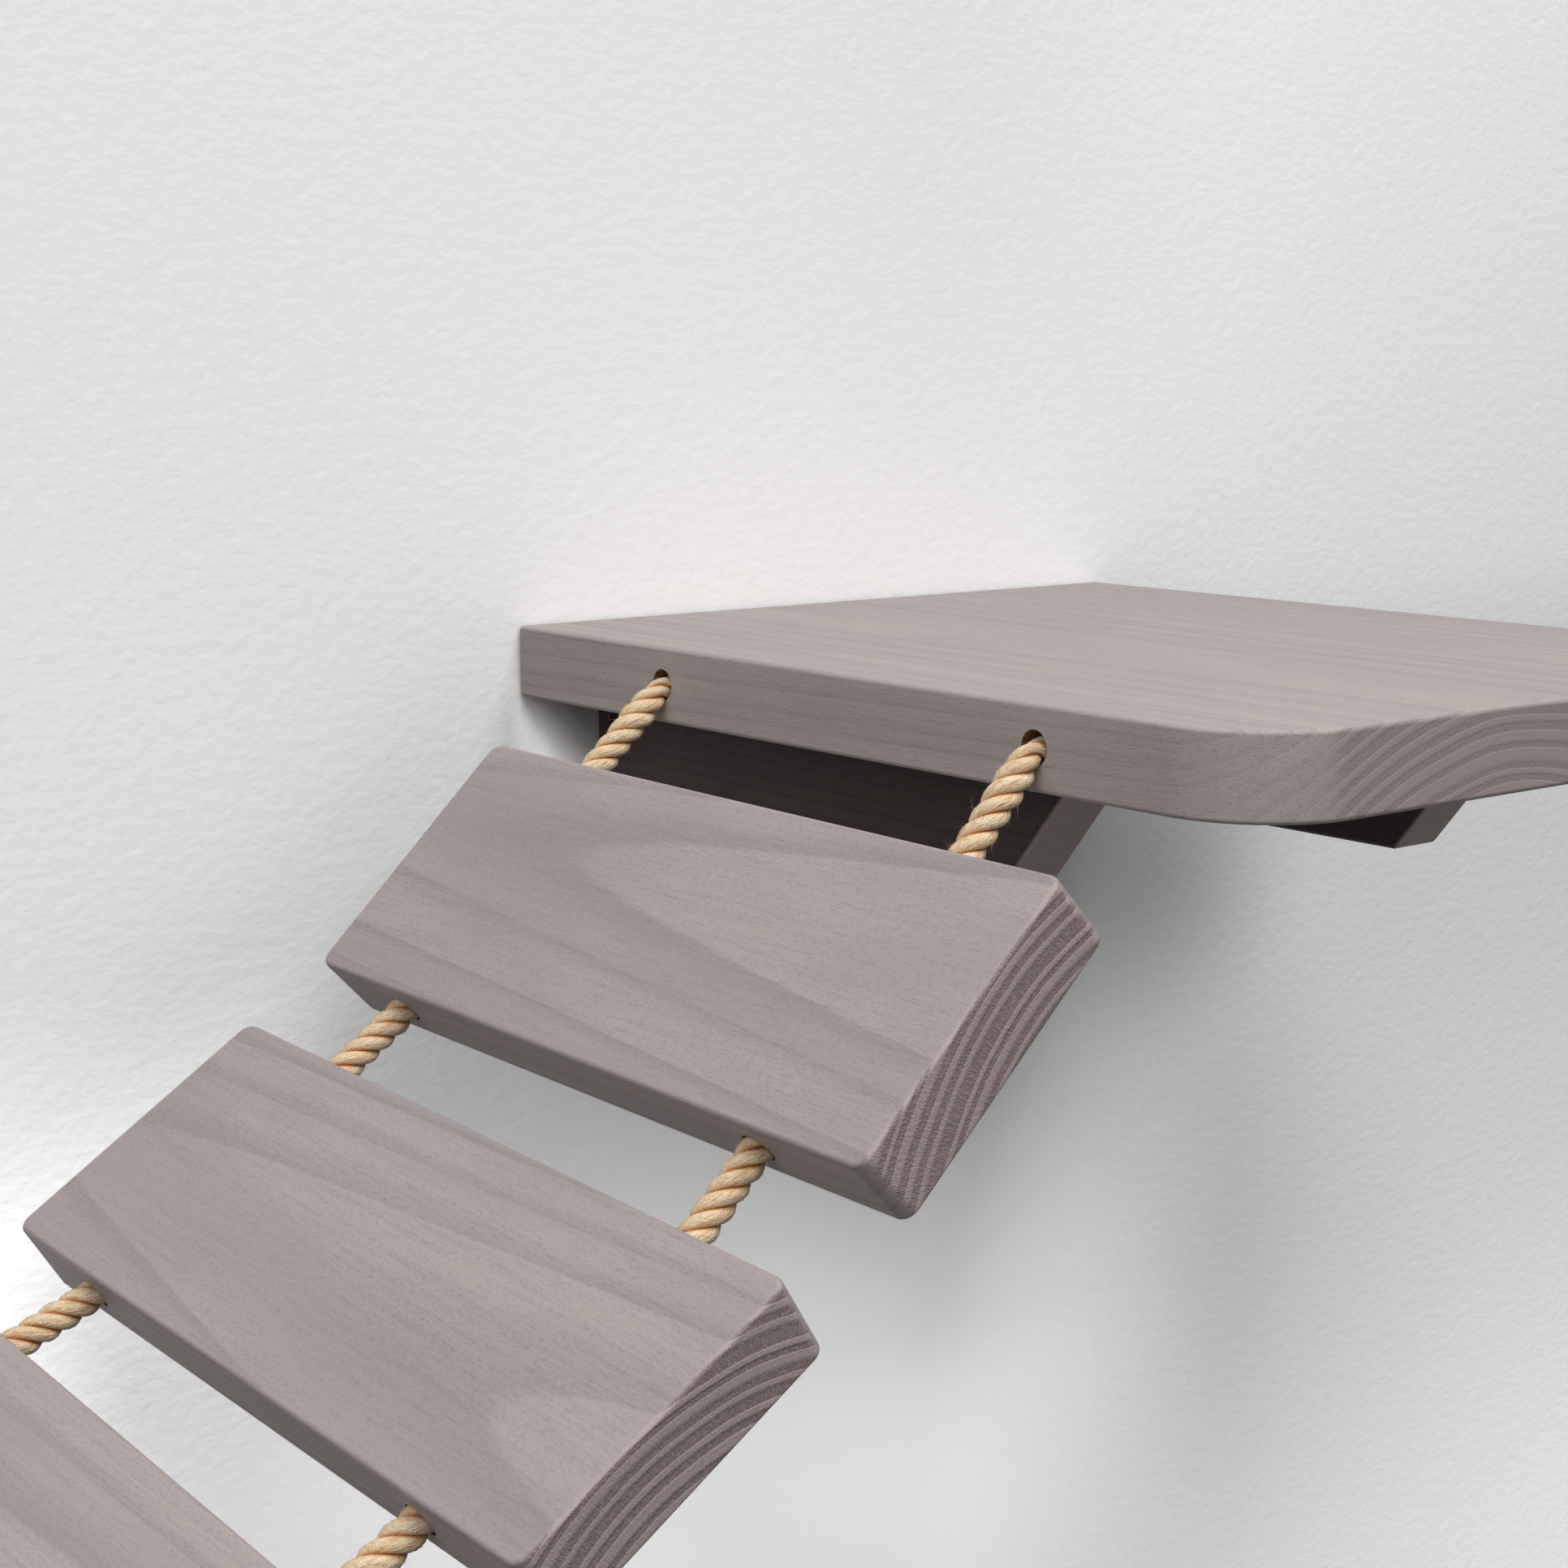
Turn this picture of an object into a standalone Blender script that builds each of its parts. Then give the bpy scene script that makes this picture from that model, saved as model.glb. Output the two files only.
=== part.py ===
"""Cat wall bridge: wooden planks threaded on two ropes that hang between two wall shelves.

Metres, +Z up. X runs along the wall, +Y points into the wall and the room is at -Y. The origin is the
centre of the right-hand rail's back face, on the wall. Planks are numbered from the right-hand shelf.
"""

from dataclasses import dataclass
from math import ceil, cos, pi, radians, tan

import bmesh
import bpy
from mathutils import Matrix, Vector

# Boards of the two shelves
BOARD_THICKNESS = 0.022
SHELF_WIDTH = 0.250  # along the wall
SHELF_DEPTH = 0.305  # out from the wall
SHELF_CORNER = 0.030  # radius of the two corners in the room
EASED_EDGE = 0.002  # rounding of every long wooden edge
EDGE_STEPS = 2
CORNER_STEPS = 8

# Brackets and rails under the boards
BRACKET_THICKNESS = 0.020
BRACKET_INSET = 0.029  # from an end of the board to the bracket's outer face
BRACKET_REACH = 0.217  # along the board, from the wall
BRACKET_HEIGHT = 0.045
BRACKET_END_ANGLE = radians(51)  # of the outer end, from level
RAIL_HEIGHT = 0.040
RAIL_THICKNESS = 0.020

# Planks
PLANK_COUNT = 7
PLANK_WIDTH = 0.082  # along the ropes
PLANK_BACK_END = 0.034  # from the back rope to the plank's end near the wall
PLANK_FRONT_END = 0.044  # from the front rope to the plank's end in the room
PLANK_THICKNESS = 0.022
PLANK_CORNER = 0.004
PLANK_CORNER_STEPS = 3

# Ropes. A link's slope is its place from mid span times the slope step, a plank's weight over the pull
ROPE_DIAMETER = 0.008
ROPE_SPACING = 0.155
ROPE_BACK_Y = -0.076  # the rope nearer the wall
SLOPE_STEP = 0.32
SLACK_SHARE = 0.075  # how much deeper the front rope hangs than the back one, as a share of the depth
END_LINK = 0.036  # free rope between a shelf's pivot and the nearest plank
LINK = 0.029  # free rope between two planks
ROPE_BEVEL_STEPS = 2
ROPE_POINT_SPACING = 0.018
MOUTH_BEND = 0.008  # bend radius at a shelf's hole
PLANK_BEND = 0.030  # bend radius at a plank's hole
BEND_STEPS = 4

# Rope ends inside the shelves
SHELF_BORE_CLEARANCE = 0.0008
PLANK_BORE_CLEARANCE = 0.0005
PIVOT_OUT = 0.0025  # from a shelf's end face out to the rope's pivot
STUB_IN = 0.0024  # from the end face in to where the swinging rope begins
ANCHOR_DEPTH = 0.075  # of the blind bore, from the end face
PIN_IN = 0.060  # from the end face in to the screw that pins the rope
ROPE_END_GAP = 0.0008  # between two stretches of one rope, at a pivot

# Fasteners
SCREW_POINT = 0.005
WALL_SCREW_SHANK = 0.005
WALL_SCREW_HEAD = 0.0095
WALL_SCREW_LENGTH = 0.070
WALL_SCREW_SPACING = 0.100
BRACKET_SCREW_SHANK = 0.004
BRACKET_SCREW_HEAD = 0.008
BRACKET_SCREW_LENGTH = 0.050
BRACKET_SCREW_SPACING = 0.020
PIN_SHANK = 0.003
PIN_HEAD = 0.006
PIN_LENGTH = 0.018
DOWEL_DIAMETER = 0.008
DOWEL_LENGTH = 0.030
DOWEL_IN_BOARD = 0.011
DOWEL_CHAMFER = 0.001
DOWEL_BACK_Y = -0.050
DOWEL_FRONT_Y = -0.135
ROUND_STEPS = 12
BORE_STEPS = 16

SEAT_GAP = 0.0003  # between pieces that touch
OVERRUN = 0.005  # of a cutter past the face that it opens
SHARP_ANGLE = radians(50)
SMOOTH_ANGLE = radians(35)

# Worked out from the sizes above
ROPE_RADIUS = ROPE_DIAMETER / 2
SHELF_BORE_RADIUS = ROPE_RADIUS + SHELF_BORE_CLEARANCE
PLANK_BORE_RADIUS = ROPE_RADIUS + PLANK_BORE_CLEARANCE
ROPE_MIDDLE_Y = ROPE_BACK_Y - ROPE_SPACING / 2
ROPE_OFFSETS = {"back": -ROPE_SPACING / 2, "front": ROPE_SPACING / 2}  # out into the room
ROPE_YS = {rope: ROPE_MIDDLE_Y - offset for rope, offset in ROPE_OFFSETS.items()}
BOARD_UNDER = RAIL_HEIGHT / 2 + SEAT_GAP
BOARD_MIDDLE = BOARD_UNDER + BOARD_THICKNESS / 2
PLANK_LENGTH = PLANK_BACK_END + ROPE_SPACING + PLANK_FRONT_END
RAIL_LENGTH = SHELF_WIDTH - 2 * (BRACKET_INSET + BRACKET_THICKNESS + SEAT_GAP)
RIGHT_END_X = -SHELF_WIDTH / 2
RIGHT_HUNG = ceil(PLANK_COUNT / 2)  # planks hinged one to the next from the right-hand shelf
WALL_SCREW = (WALL_SCREW_SHANK, WALL_SCREW_HEAD, WALL_SCREW_LENGTH)
BRACKET_SCREW = (BRACKET_SCREW_SHANK, BRACKET_SCREW_HEAD, BRACKET_SCREW_LENGTH)
PIN_SCREW = (PIN_SHANK, PIN_HEAD, PIN_LENGTH)

parts = bpy.data.collections.new("cat_wall_bridge")
cutters = bpy.data.collections.new("cutters")


def clear_scene():
    for item in list(bpy.data.objects):
        bpy.data.objects.remove(item, do_unlink=True)
    for collection in (parts, cutters):
        bpy.context.scene.collection.children.link(collection)


def linear(channel):
    """A display colour channel, 0 to 255, as the linear value that a shader takes."""
    share = channel / 255
    return share / 12.92 if share <= 0.04045 else ((share + 0.055) / 1.055) ** 2.4


def material(name, display_colour, roughness, metallic=0.0):
    made = bpy.data.materials.new(name)
    made.use_nodes = True
    shader = made.node_tree.nodes["Principled BSDF"]
    shader.inputs["Base Color"].default_value = (*map(linear, display_colour), 1.0)
    shader.inputs["Roughness"].default_value = roughness
    shader.inputs["Metallic"].default_value = metallic
    return made


def add_object(name, data, finish=None, parent=None, collection=parts):
    made = bpy.data.objects.new(name, data)
    collection.objects.link(made)
    if finish is not None:
        data.materials.append(finish)
    made.parent = parent
    return made


def place(item, centre, turn=Matrix.Identity(4)):
    """Puts an object at a world position, also under a parent."""
    bpy.context.view_layer.update()
    item.matrix_world = Matrix.Translation(centre) @ turn


def finish_mesh(name, mesh):
    bmesh.ops.recalc_face_normals(mesh, faces=mesh.faces)
    data = bpy.data.meshes.new(name)
    mesh.to_mesh(data)
    mesh.free()
    data.shade_smooth()
    data.set_sharp_from_angle(angle=SMOOTH_ANGLE)
    return data


def ease_edges(mesh):
    sharp = [e for e in mesh.edges if e.calc_face_angle() > SHARP_ANGLE]
    bmesh.ops.bevel(mesh, geom=sharp, offset=EASED_EDGE, segments=EDGE_STEPS, profile=0.5, affect="EDGES")


def rounded_block(name, size, corner_radius=0.0, corner_steps=1, rounded_ends=()):
    """A block about its centre. Upright edges at the ends named by their sign of y get the corner radius."""
    mesh = bmesh.new()
    bmesh.ops.create_cube(mesh, size=1.0, matrix=Matrix.Diagonal((*size, 1.0)))
    corners = [
        e
        for e in mesh.edges
        if abs(e.verts[0].co.z - e.verts[1].co.z) > size[2] / 2
        and any(e.verts[0].co.y * end > 0 for end in rounded_ends)
    ]
    if corners:
        steps = {"segments": corner_steps, "profile": 0.5, "affect": "EDGES"}
        bmesh.ops.bevel(mesh, geom=corners, offset=corner_radius, **steps)
    ease_edges(mesh)
    return finish_mesh(name, mesh)


def cylinder_mesh(start, end, radius, steps):
    along = end - start
    turn = along.to_track_quat("Z", "Y").to_matrix().to_4x4()
    mesh = bmesh.new()
    bmesh.ops.create_cone(
        mesh,
        cap_ends=True,
        segments=steps,
        radius1=radius,
        radius2=radius,
        depth=along.length,
        matrix=Matrix.Translation((start + end) / 2) @ turn,
    )
    return mesh


def cylinder_between(name, start, end, radius):
    return finish_mesh(name, cylinder_mesh(start, end, radius, BORE_STEPS))


def add_cutter(target, cutter):
    cutter.hide_render = True
    cutter.display_type = "WIRE"
    cut = target.modifiers.new(cutter.name, "BOOLEAN")
    cut.operation = "DIFFERENCE"
    cut.object = cutter


def bore(target, name, start, end, radius):
    add_cutter(target, add_object(name, cylinder_between(name, start, end, radius), collection=cutters))


def turned(name, profile, finish=None, collection=parts):
    """A solid turned about its own Z axis from (radius, height) points that run from its top down."""
    data = bpy.data.meshes.new(name)
    points = [(radius, 0.0, height) for radius, height in profile]
    data.from_pydata(points, [(i, i + 1) for i in range(len(points) - 1)], [])
    made = add_object(name, data, finish, collection=collection)
    spin = made.modifiers.new("turn", "SCREW")
    spin.axis = "Z"
    spin.steps = ROUND_STEPS
    spin.render_steps = ROUND_STEPS
    spin.use_merge_vertices = True
    spin.merge_threshold = 0.00001
    spin.use_smooth_shade = True
    return made


def screw_profile(size, grow=0.0, above=0.0):
    """A countersunk screw with its head's flat top at height 0, or a cutter that is larger all round."""
    shank_diameter, head_diameter, length = size
    head, shank = head_diameter / 2 + grow, shank_diameter / 2 + grow
    sink = (head_diameter - shank_diameter) / 2 + grow
    top = [(0.0, above), (head, above)]
    if above:
        top.append((head, 0.0))
    return top + [(shank, -sink), (shank, SCREW_POINT - length - grow), (0.0, -length - grow)]


def add_screw(name, head_centre, turn, size, cut_pieces, finish):
    place(turned(name, screw_profile(size), finish), head_centre, turn)
    cutter = turned(f"{name}_hole", screw_profile(size, SEAT_GAP, OVERRUN), collection=cutters)
    place(cutter, head_centre, turn)
    for piece in cut_pieces:
        add_cutter(piece, cutter)


def rounded_route(corners, radii):
    """Points along straight runs whose inner corners are rounded with these radii."""
    route = [corners[0]]
    for before, corner, after, radius in zip(corners, corners[1:], corners[2:], radii):
        inward, outward = (corner - before).normalized(), (after - corner).normalized()
        bend = inward.angle(outward)
        start = corner - inward * radius * tan(bend / 2)
        centre = corner + (outward - inward).normalized() * radius / cos(bend / 2)
        axis = inward.cross(outward).normalized()
        for step in range(BEND_STEPS + 1):
            turn = Matrix.Rotation(bend * step / BEND_STEPS, 3, axis)
            route.append(centre + turn @ (start - centre))
    route.append(corners[-1])
    filled = [route[0]]
    for start, end in zip(route, route[1:]):
        pieces = max(1, round((end - start).length / ROPE_POINT_SPACING))
        filled += [start.lerp(end, n / pieces) for n in range(1, pieces + 1)]
    return filled


def rope_curve(name, route, finish):
    """A round tube along a route, as a curve in world coordinates."""
    data = bpy.data.curves.new(name, "CURVE")
    data.dimensions = "3D"
    data.bevel_depth = ROPE_RADIUS
    data.bevel_resolution = ROPE_BEVEL_STEPS
    data.use_fill_caps = True
    spline = data.splines.new("POLY")
    spline.points.add(len(route) - 1)
    for point, position in zip(spline.points, route):
        point.co = (*position, 1.0)
    spline.use_smooth = True
    return add_object(name, data, finish)


@dataclass
class Hung:
    """Where one plank hangs. Each dictionary holds a point for the back rope and one for the front rope."""

    centre: Vector
    along: Vector  # up the line of the ropes, towards the right-hand shelf
    across: Vector  # from the wall out into the room
    near: dict  # holes nearer the right-hand shelf
    far: dict
    before: dict  # pivots nearer the right-hand shelf
    after: dict


def step_of(slope):
    """The unit step along a link or plank of this slope, away from the right-hand shelf."""
    return Vector((-1.0, 0.0, -slope)).normalized()


def link_slope(number):
    """Fall over run of a rope link. Link 0 leaves the right-hand shelf."""
    return (PLANK_COUNT / 2 - number) * SLOPE_STEP


def plank_slope(number):
    """A plank lies at the mean of the links on both sides of it."""
    return (link_slope(number - 1) + link_slope(number)) / 2


def hang_plank(near, far):
    """Tilts a plank out into the room by what the front rope hangs deeper than the back one."""
    centre, along = (near + far) / 2, (near - far).normalized()
    drop = SLACK_SHARE * (BOARD_MIDDLE - centre.z) / ROPE_SPACING
    across = Vector((0.0, -1.0, -drop))
    across = (across - along * across.dot(along)).normalized()
    holes = [
        {
            rope: centre + along * end * PLANK_WIDTH / 2 + across * offset
            for rope, offset in ROPE_OFFSETS.items()
        }
        for end in (1, -1)
    ]
    return Hung(centre, along, across, holes[0], holes[1], {}, {})


def hang_planks():
    """The planks, with the last one's far pivots at the mouths of the left-hand shelf."""
    here = Vector((RIGHT_END_X - PIVOT_OUT, ROPE_MIDDLE_Y, BOARD_MIDDLE))
    hung = []
    for number in range(1, PLANK_COUNT + 1):
        near = here + step_of(link_slope(number - 1)) * (END_LINK if number == 1 else LINK)
        here = near + step_of(plank_slope(number)) * PLANK_WIDTH
        hung.append(hang_plank(near, here))
    last_mouth = here + step_of(link_slope(PLANK_COUNT)) * END_LINK
    for plank, following in zip(hung, hung[1:]):
        for rope in ROPE_YS:
            plank.after[rope] = (plank.far[rope] + following.near[rope]) / 2
        following.before = plank.after
    for rope, rope_y in ROPE_YS.items():
        hung[0].before[rope] = Vector((RIGHT_END_X - PIVOT_OUT, rope_y, BOARD_MIDDLE))
        hung[-1].after[rope] = Vector((last_mouth.x, rope_y, BOARD_MIDDLE))
    return hung


def build_plank(number, hung, parent, wood):
    name = f"plank_{number}"
    size = (PLANK_WIDTH, PLANK_LENGTH, PLANK_THICKNESS)
    data = rounded_block(name, size, PLANK_CORNER, PLANK_CORNER_STEPS, (-1, 1))
    plank = add_object(name, data, wood, parent)
    up = hung.along.cross(-hung.across)
    turn = Matrix((hung.along, -hung.across, up)).transposed().to_4x4()
    place(plank, hung.centre + hung.across * (PLANK_FRONT_END - PLANK_BACK_END) / 2, turn)
    for rope in ROPE_YS:
        start, end = hung.near[rope] + hung.along * OVERRUN, hung.far[rope] - hung.along * OVERRUN
        bore(plank, f"{name}_{rope}_bore", start, end, PLANK_BORE_RADIUS)


def build_plank_rope(number, hung, rope, parent, finish):
    """The stretch of one rope that moves with a plank, from pivot to pivot."""
    points, radii = [hung.near[rope], hung.far[rope]], [PLANK_BEND, PLANK_BEND]
    start, bends = rope_start(number == 1, 1, hung.before[rope], hung.near[rope])
    end, more_bends = rope_start(number == PLANK_COUNT, -1, hung.after[rope], hung.far[rope])
    route = rounded_route(start + points + end[::-1], bends + radii + more_bends)
    piece = rope_curve(f"rope_{rope}_plank_{number}", route, finish)
    piece.parent = parent
    place(piece, Vector())


def rope_start(at_shelf, side, pivot, hole):
    """The route before a plank's hole and its bends: out of a shelf's bore, or from half way along a link."""
    if at_shelf:
        return [pivot + Vector((side * (STUB_IN + PIVOT_OUT), 0, 0)), pivot], [MOUTH_BEND]
    return [pivot + (hole - pivot).normalized() * ROPE_END_GAP / 2], []


def build_rope_end(side_name, side, end_x, rope, board, finishes):
    """The stretch of one rope in a shelf's blind bore, and the screw that pins it from below."""
    name = f"rope_end_{side_name}_{rope}"
    mouth = Vector((end_x, ROPE_YS[rope], BOARD_MIDDLE))
    inward = Vector((side, 0, 0))
    start = mouth + inward * (STUB_IN + ROPE_END_GAP)
    end = mouth + inward * (ANCHOR_DEPTH - SEAT_GAP)
    piece = add_object(name, cylinder_between(name, start, end, ROPE_RADIUS), finishes["rope"])
    bore(board, f"{name}_bore", mouth - inward * OVERRUN, mouth + inward * ANCHOR_DEPTH, SHELF_BORE_RADIUS)
    head = Vector((end_x + side * PIN_IN, ROPE_YS[rope], BOARD_UNDER))
    turn = Matrix.Rotation(pi, 4, "X")
    add_screw(f"rope_pin_{side_name}_{rope}", head, turn, PIN_SCREW, [board, piece], finishes["steel"])


def build_bracket(name, centre_x, wood):
    """A plate square to the wall, with its outer end cut back at a slant."""
    mesh = bmesh.new()
    size = Matrix.Diagonal((BRACKET_THICKNESS, BRACKET_REACH, BRACKET_HEIGHT, 1.0))
    bmesh.ops.create_cube(mesh, size=1.0, matrix=size)
    for vert in mesh.verts:
        if vert.co.y < 0 and vert.co.z < 0:
            vert.co.y += BRACKET_HEIGHT / tan(BRACKET_END_ANGLE)
    ease_edges(mesh)
    bracket = add_object(name, finish_mesh(name, mesh), wood)
    place(bracket, Vector((centre_x, -BRACKET_REACH / 2, BOARD_UNDER - SEAT_GAP - BRACKET_HEIGHT / 2)))
    return bracket


def build_dowel(name, position, cut_pieces, finish):
    """A chamfered peg that stands across the joint between a bracket and its board."""
    half = Vector((0, 0, DOWEL_LENGTH / 2))
    mesh = cylinder_mesh(-half, half, DOWEL_DIAMETER / 2, ROUND_STEPS)
    rims = [e for e in mesh.edges if e.calc_face_angle() > SHARP_ANGLE]
    bmesh.ops.bevel(mesh, geom=rims, offset=DOWEL_CHAMFER, segments=1, affect="EDGES")
    dowel = add_object(name, finish_mesh(name, mesh), finish)
    place(dowel, position)
    half += Vector((0, 0, SEAT_GAP))
    hole = cylinder_between(f"{name}_hole", position - half, position + half, DOWEL_DIAMETER / 2 + SEAT_GAP)
    cutter = add_object(f"{name}_hole", hole, collection=cutters)
    for piece in cut_pieces:
        add_cutter(piece, cutter)


def build_wall_rail(side_name, centre_x, finishes):
    size = (RAIL_LENGTH, RAIL_THICKNESS, RAIL_HEIGHT)
    rail = add_object(f"wall_rail_{side_name}", rounded_block("wall_rail", size), finishes["wood"])
    place(rail, Vector((centre_x, -RAIL_THICKNESS / 2, 0.0)))
    turn = Matrix.Rotation(pi / 2, 4, "X")
    for number, offset in enumerate((-0.5, 0.5), 1):
        head = Vector((centre_x + offset * WALL_SCREW_SPACING, -RAIL_THICKNESS, 0.0))
        add_screw(f"wall_screw_{side_name}_{number}", head, turn, WALL_SCREW, [rail], finishes["steel"])
    return rail


def build_bracket_joints(side_name, which, direction, bracket, pieces, finishes):
    """A bracket's two screws into the rail's end and its two dowels into the board."""
    board, rail = pieces
    bracket_x = bracket.matrix_world.translation.x
    turn = Matrix.Rotation(direction * pi / 2, 4, "Y")
    for place_name, offset in (("lower", -0.5), ("upper", 0.5)):
        head_x = bracket_x + direction * BRACKET_THICKNESS / 2
        head = Vector((head_x, -RAIL_THICKNESS / 2, offset * BRACKET_SCREW_SPACING))
        name = f"bracket_screw_{side_name}_{which}_{place_name}"
        add_screw(name, head, turn, BRACKET_SCREW, [bracket, rail], finishes["steel"])
    for place_name, dowel_y in (("back", DOWEL_BACK_Y), ("front", DOWEL_FRONT_Y)):
        position = Vector((bracket_x, dowel_y, BOARD_UNDER + DOWEL_IN_BOARD - DOWEL_LENGTH / 2))
        build_dowel(f"dowel_{side_name}_{which}_{place_name}", position, [bracket, board], finishes["peg"])


def build_shelf(side_name, side, end_x, finishes):
    """A board on two brackets and a rail. The ropes enter its end at end_x; side is 1 right, -1 left."""
    centre_x = end_x + side * SHELF_WIDTH / 2
    size = (SHELF_WIDTH, SHELF_DEPTH, BOARD_THICKNESS)
    data = rounded_block("shelf_board", size, SHELF_CORNER, CORNER_STEPS, (-1,))
    board = add_object(f"shelf_board_{side_name}", data, finishes["wood"])
    place(board, Vector((centre_x, -SHELF_DEPTH / 2, BOARD_MIDDLE)))
    rail = build_wall_rail(side_name, centre_x, finishes)
    from_middle = SHELF_WIDTH / 2 - BRACKET_INSET - BRACKET_THICKNESS / 2
    for which, direction in (("inner", -side), ("outer", side)):
        bracket_x = centre_x + direction * from_middle
        bracket = build_bracket(f"bracket_{side_name}_{which}", bracket_x, finishes["wood"])
        build_bracket_joints(side_name, which, direction, bracket, (board, rail), finishes)
    for rope in ROPE_YS:
        build_rope_end(side_name, side, end_x, rope, board, finishes)


def hinge_empty(number, pivots, parent):
    """An empty half way along a plank's hinge line, which runs through the pivots of both ropes."""
    empty = bpy.data.objects.new(f"hinge_plank_{number}", None)
    parts.objects.link(empty)
    empty.empty_display_size = ROPE_DIAMETER
    empty.parent = parent
    place(empty, (pivots["back"] + pivots["front"]) / 2)
    return empty


def build_bridge(hung, finishes):
    """Two rows of planks, each plank hinged to the one before it and the first of each row to a shelf."""
    right_row = range(1, RIGHT_HUNG + 1)
    left_row = range(PLANK_COUNT, RIGHT_HUNG, -1)
    for row, shelf_side in ((right_row, "before"), (left_row, "after")):
        parent = None
        for number in row:
            plank = hung[number - 1]
            parent = hinge_empty(number, getattr(plank, shelf_side), parent)
            build_plank(number, plank, parent, finishes["wood"])
            for rope in ROPE_YS:
                build_plank_rope(number, plank, rope, parent, finishes["rope"])


def even_shading():
    """Keeps the flat faces looking flat where their edges are rounded or bores cut them."""
    for item in parts.objects:
        if item.type == "MESH":
            even = item.modifiers.new("even shading", "WEIGHTED_NORMAL")
            even.keep_sharp = True


def main():
    clear_scene()
    finishes = {
        "wood": material("grey_pine", (164, 156, 153), 0.62),
        "peg": material("beech_dowel", (205, 175, 135), 0.6),
        "steel": material("zinc_screw", (180, 180, 175), 0.35, 1.0),
        "rope": material("jute_rope", (200, 167, 132), 0.9),
    }
    hung = hang_planks()
    left_end_x = hung[-1].after["back"].x - PIVOT_OUT
    build_shelf("right", 1, RIGHT_END_X, finishes)
    build_shelf("left", -1, left_end_x, finishes)
    build_bridge(hung, finishes)
    even_shading()


if __name__ == "__main__":
    main()
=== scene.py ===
"""Cat wall bridge: seven planks threaded on two ropes that hang between two wall shelves.

Metres, +Z up. X runs along the wall, +Y points into the wall and the room is at -Y. The origin is the
centre of the right-hand rail's back face. Planks are numbered from the right-hand shelf.
"""

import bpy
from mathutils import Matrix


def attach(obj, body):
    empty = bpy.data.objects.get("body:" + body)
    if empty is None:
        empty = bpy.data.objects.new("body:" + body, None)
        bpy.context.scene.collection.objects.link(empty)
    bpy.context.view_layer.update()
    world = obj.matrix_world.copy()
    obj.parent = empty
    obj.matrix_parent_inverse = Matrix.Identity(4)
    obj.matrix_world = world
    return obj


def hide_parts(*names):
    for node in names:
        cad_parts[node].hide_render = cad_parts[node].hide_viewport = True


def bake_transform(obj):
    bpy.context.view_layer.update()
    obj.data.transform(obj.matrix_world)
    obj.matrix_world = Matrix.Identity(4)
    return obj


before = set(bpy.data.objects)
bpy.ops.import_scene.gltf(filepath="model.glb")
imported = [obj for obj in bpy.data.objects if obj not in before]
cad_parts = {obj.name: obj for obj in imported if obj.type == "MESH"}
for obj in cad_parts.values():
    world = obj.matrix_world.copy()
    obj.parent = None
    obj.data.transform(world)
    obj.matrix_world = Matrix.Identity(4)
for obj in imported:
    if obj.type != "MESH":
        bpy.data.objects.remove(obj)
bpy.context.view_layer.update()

import logging
import math
import random
from collections.abc import Callable, Iterable, Sequence
from dataclasses import dataclass, replace
from enum import Enum

import bmesh
import bpy
import numpy as np
from mathutils import Matrix, Vector

log = logging.getLogger("cat_wall_bridge")

SMOOTH_ANGLE = math.radians(35)
SHARP_ANGLE = math.radians(50)
SEAT_GAP = 0.0003
OVERRUN = 0.005  # of a cutter past the face it starts from
MERGE = 0.00001
UPRIGHT = 0.01  # the least height of a block's upright edge
AT_WALL, AT_END = 1.02, 0.5  # of a bore's radius, from its middle line to the faces of its wall and blind end
SQUARE = 0.2  # the most that a bore wall's faces lean from its middle line
END_GAIN, END_SHIFT = 2.5, 1.15  # of the change from face grain to end grain across an eased edge
SHELVES = "shelves"
PLANK_BODIES = tuple(
    f"{order}_plank" for order in ("first", "second", "third", "fourth", "fifth", "sixth", "seventh")
)

Colour = tuple[float, float, float]
Span = tuple[float, float]
Noise = tuple[tuple[float, float, float], float]
Ring = tuple[int, ...]
Places = Sequence[tuple[str, Matrix]]
EdgeTest = Callable[[bmesh.types.BMEdge], bool]


class Side(Enum):
    """A shelf: its name in the CAD nodes and the way from its end face into the board."""

    RIGHT = ("right", 1)
    LEFT = ("left", -1)


class Rope(Enum):
    """A rope: its name in the CAD nodes and its way from the middle line, out into the room."""

    BACK = ("back", -1)
    FRONT = ("front", 1)


class Grain(Enum):
    """Which way a timber's fibres run, as its axes across, along and through the thickness."""

    DEPTH = (0, 1, 2)
    WIDTH = (2, 0, 1)


# ---------------------------------------------------------------- bench


def select_only(item: bpy.types.Object) -> None:
    """Makes one object the only selected one, and the active one.

    Args:
        item: The object to select.
    """
    bpy.ops.object.select_all(action="DESELECT")
    item.select_set(True)
    bpy.context.view_layer.objects.active = item


def placed(name: str, data: bpy.types.ID) -> bpy.types.Object:
    """Puts a mesh, a lamp or a camera in the scene.

    Args:
        name: The object's name.
        data: What it shows.

    Returns:
        The new object.
    """
    item = bpy.data.objects.new(name, data)
    bpy.context.scene.collection.objects.link(item)
    return item


def from_points(
    name: str, points: Iterable[Sequence[float]], edges: Sequence[Ring] = (), faces: Sequence[Ring] = ()
) -> bpy.types.Object:
    """Makes an object from points and what joins them.

    Args:
        name: The object's name.
        points: The points.
        edges: Pairs of points by number.
        faces: Rings of points by number.

    Returns:
        The object.
    """
    data = bpy.data.meshes.new(name)
    data.from_pydata([tuple(point) for point in points], list(edges), list(faces))
    return placed(name, data)


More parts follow.
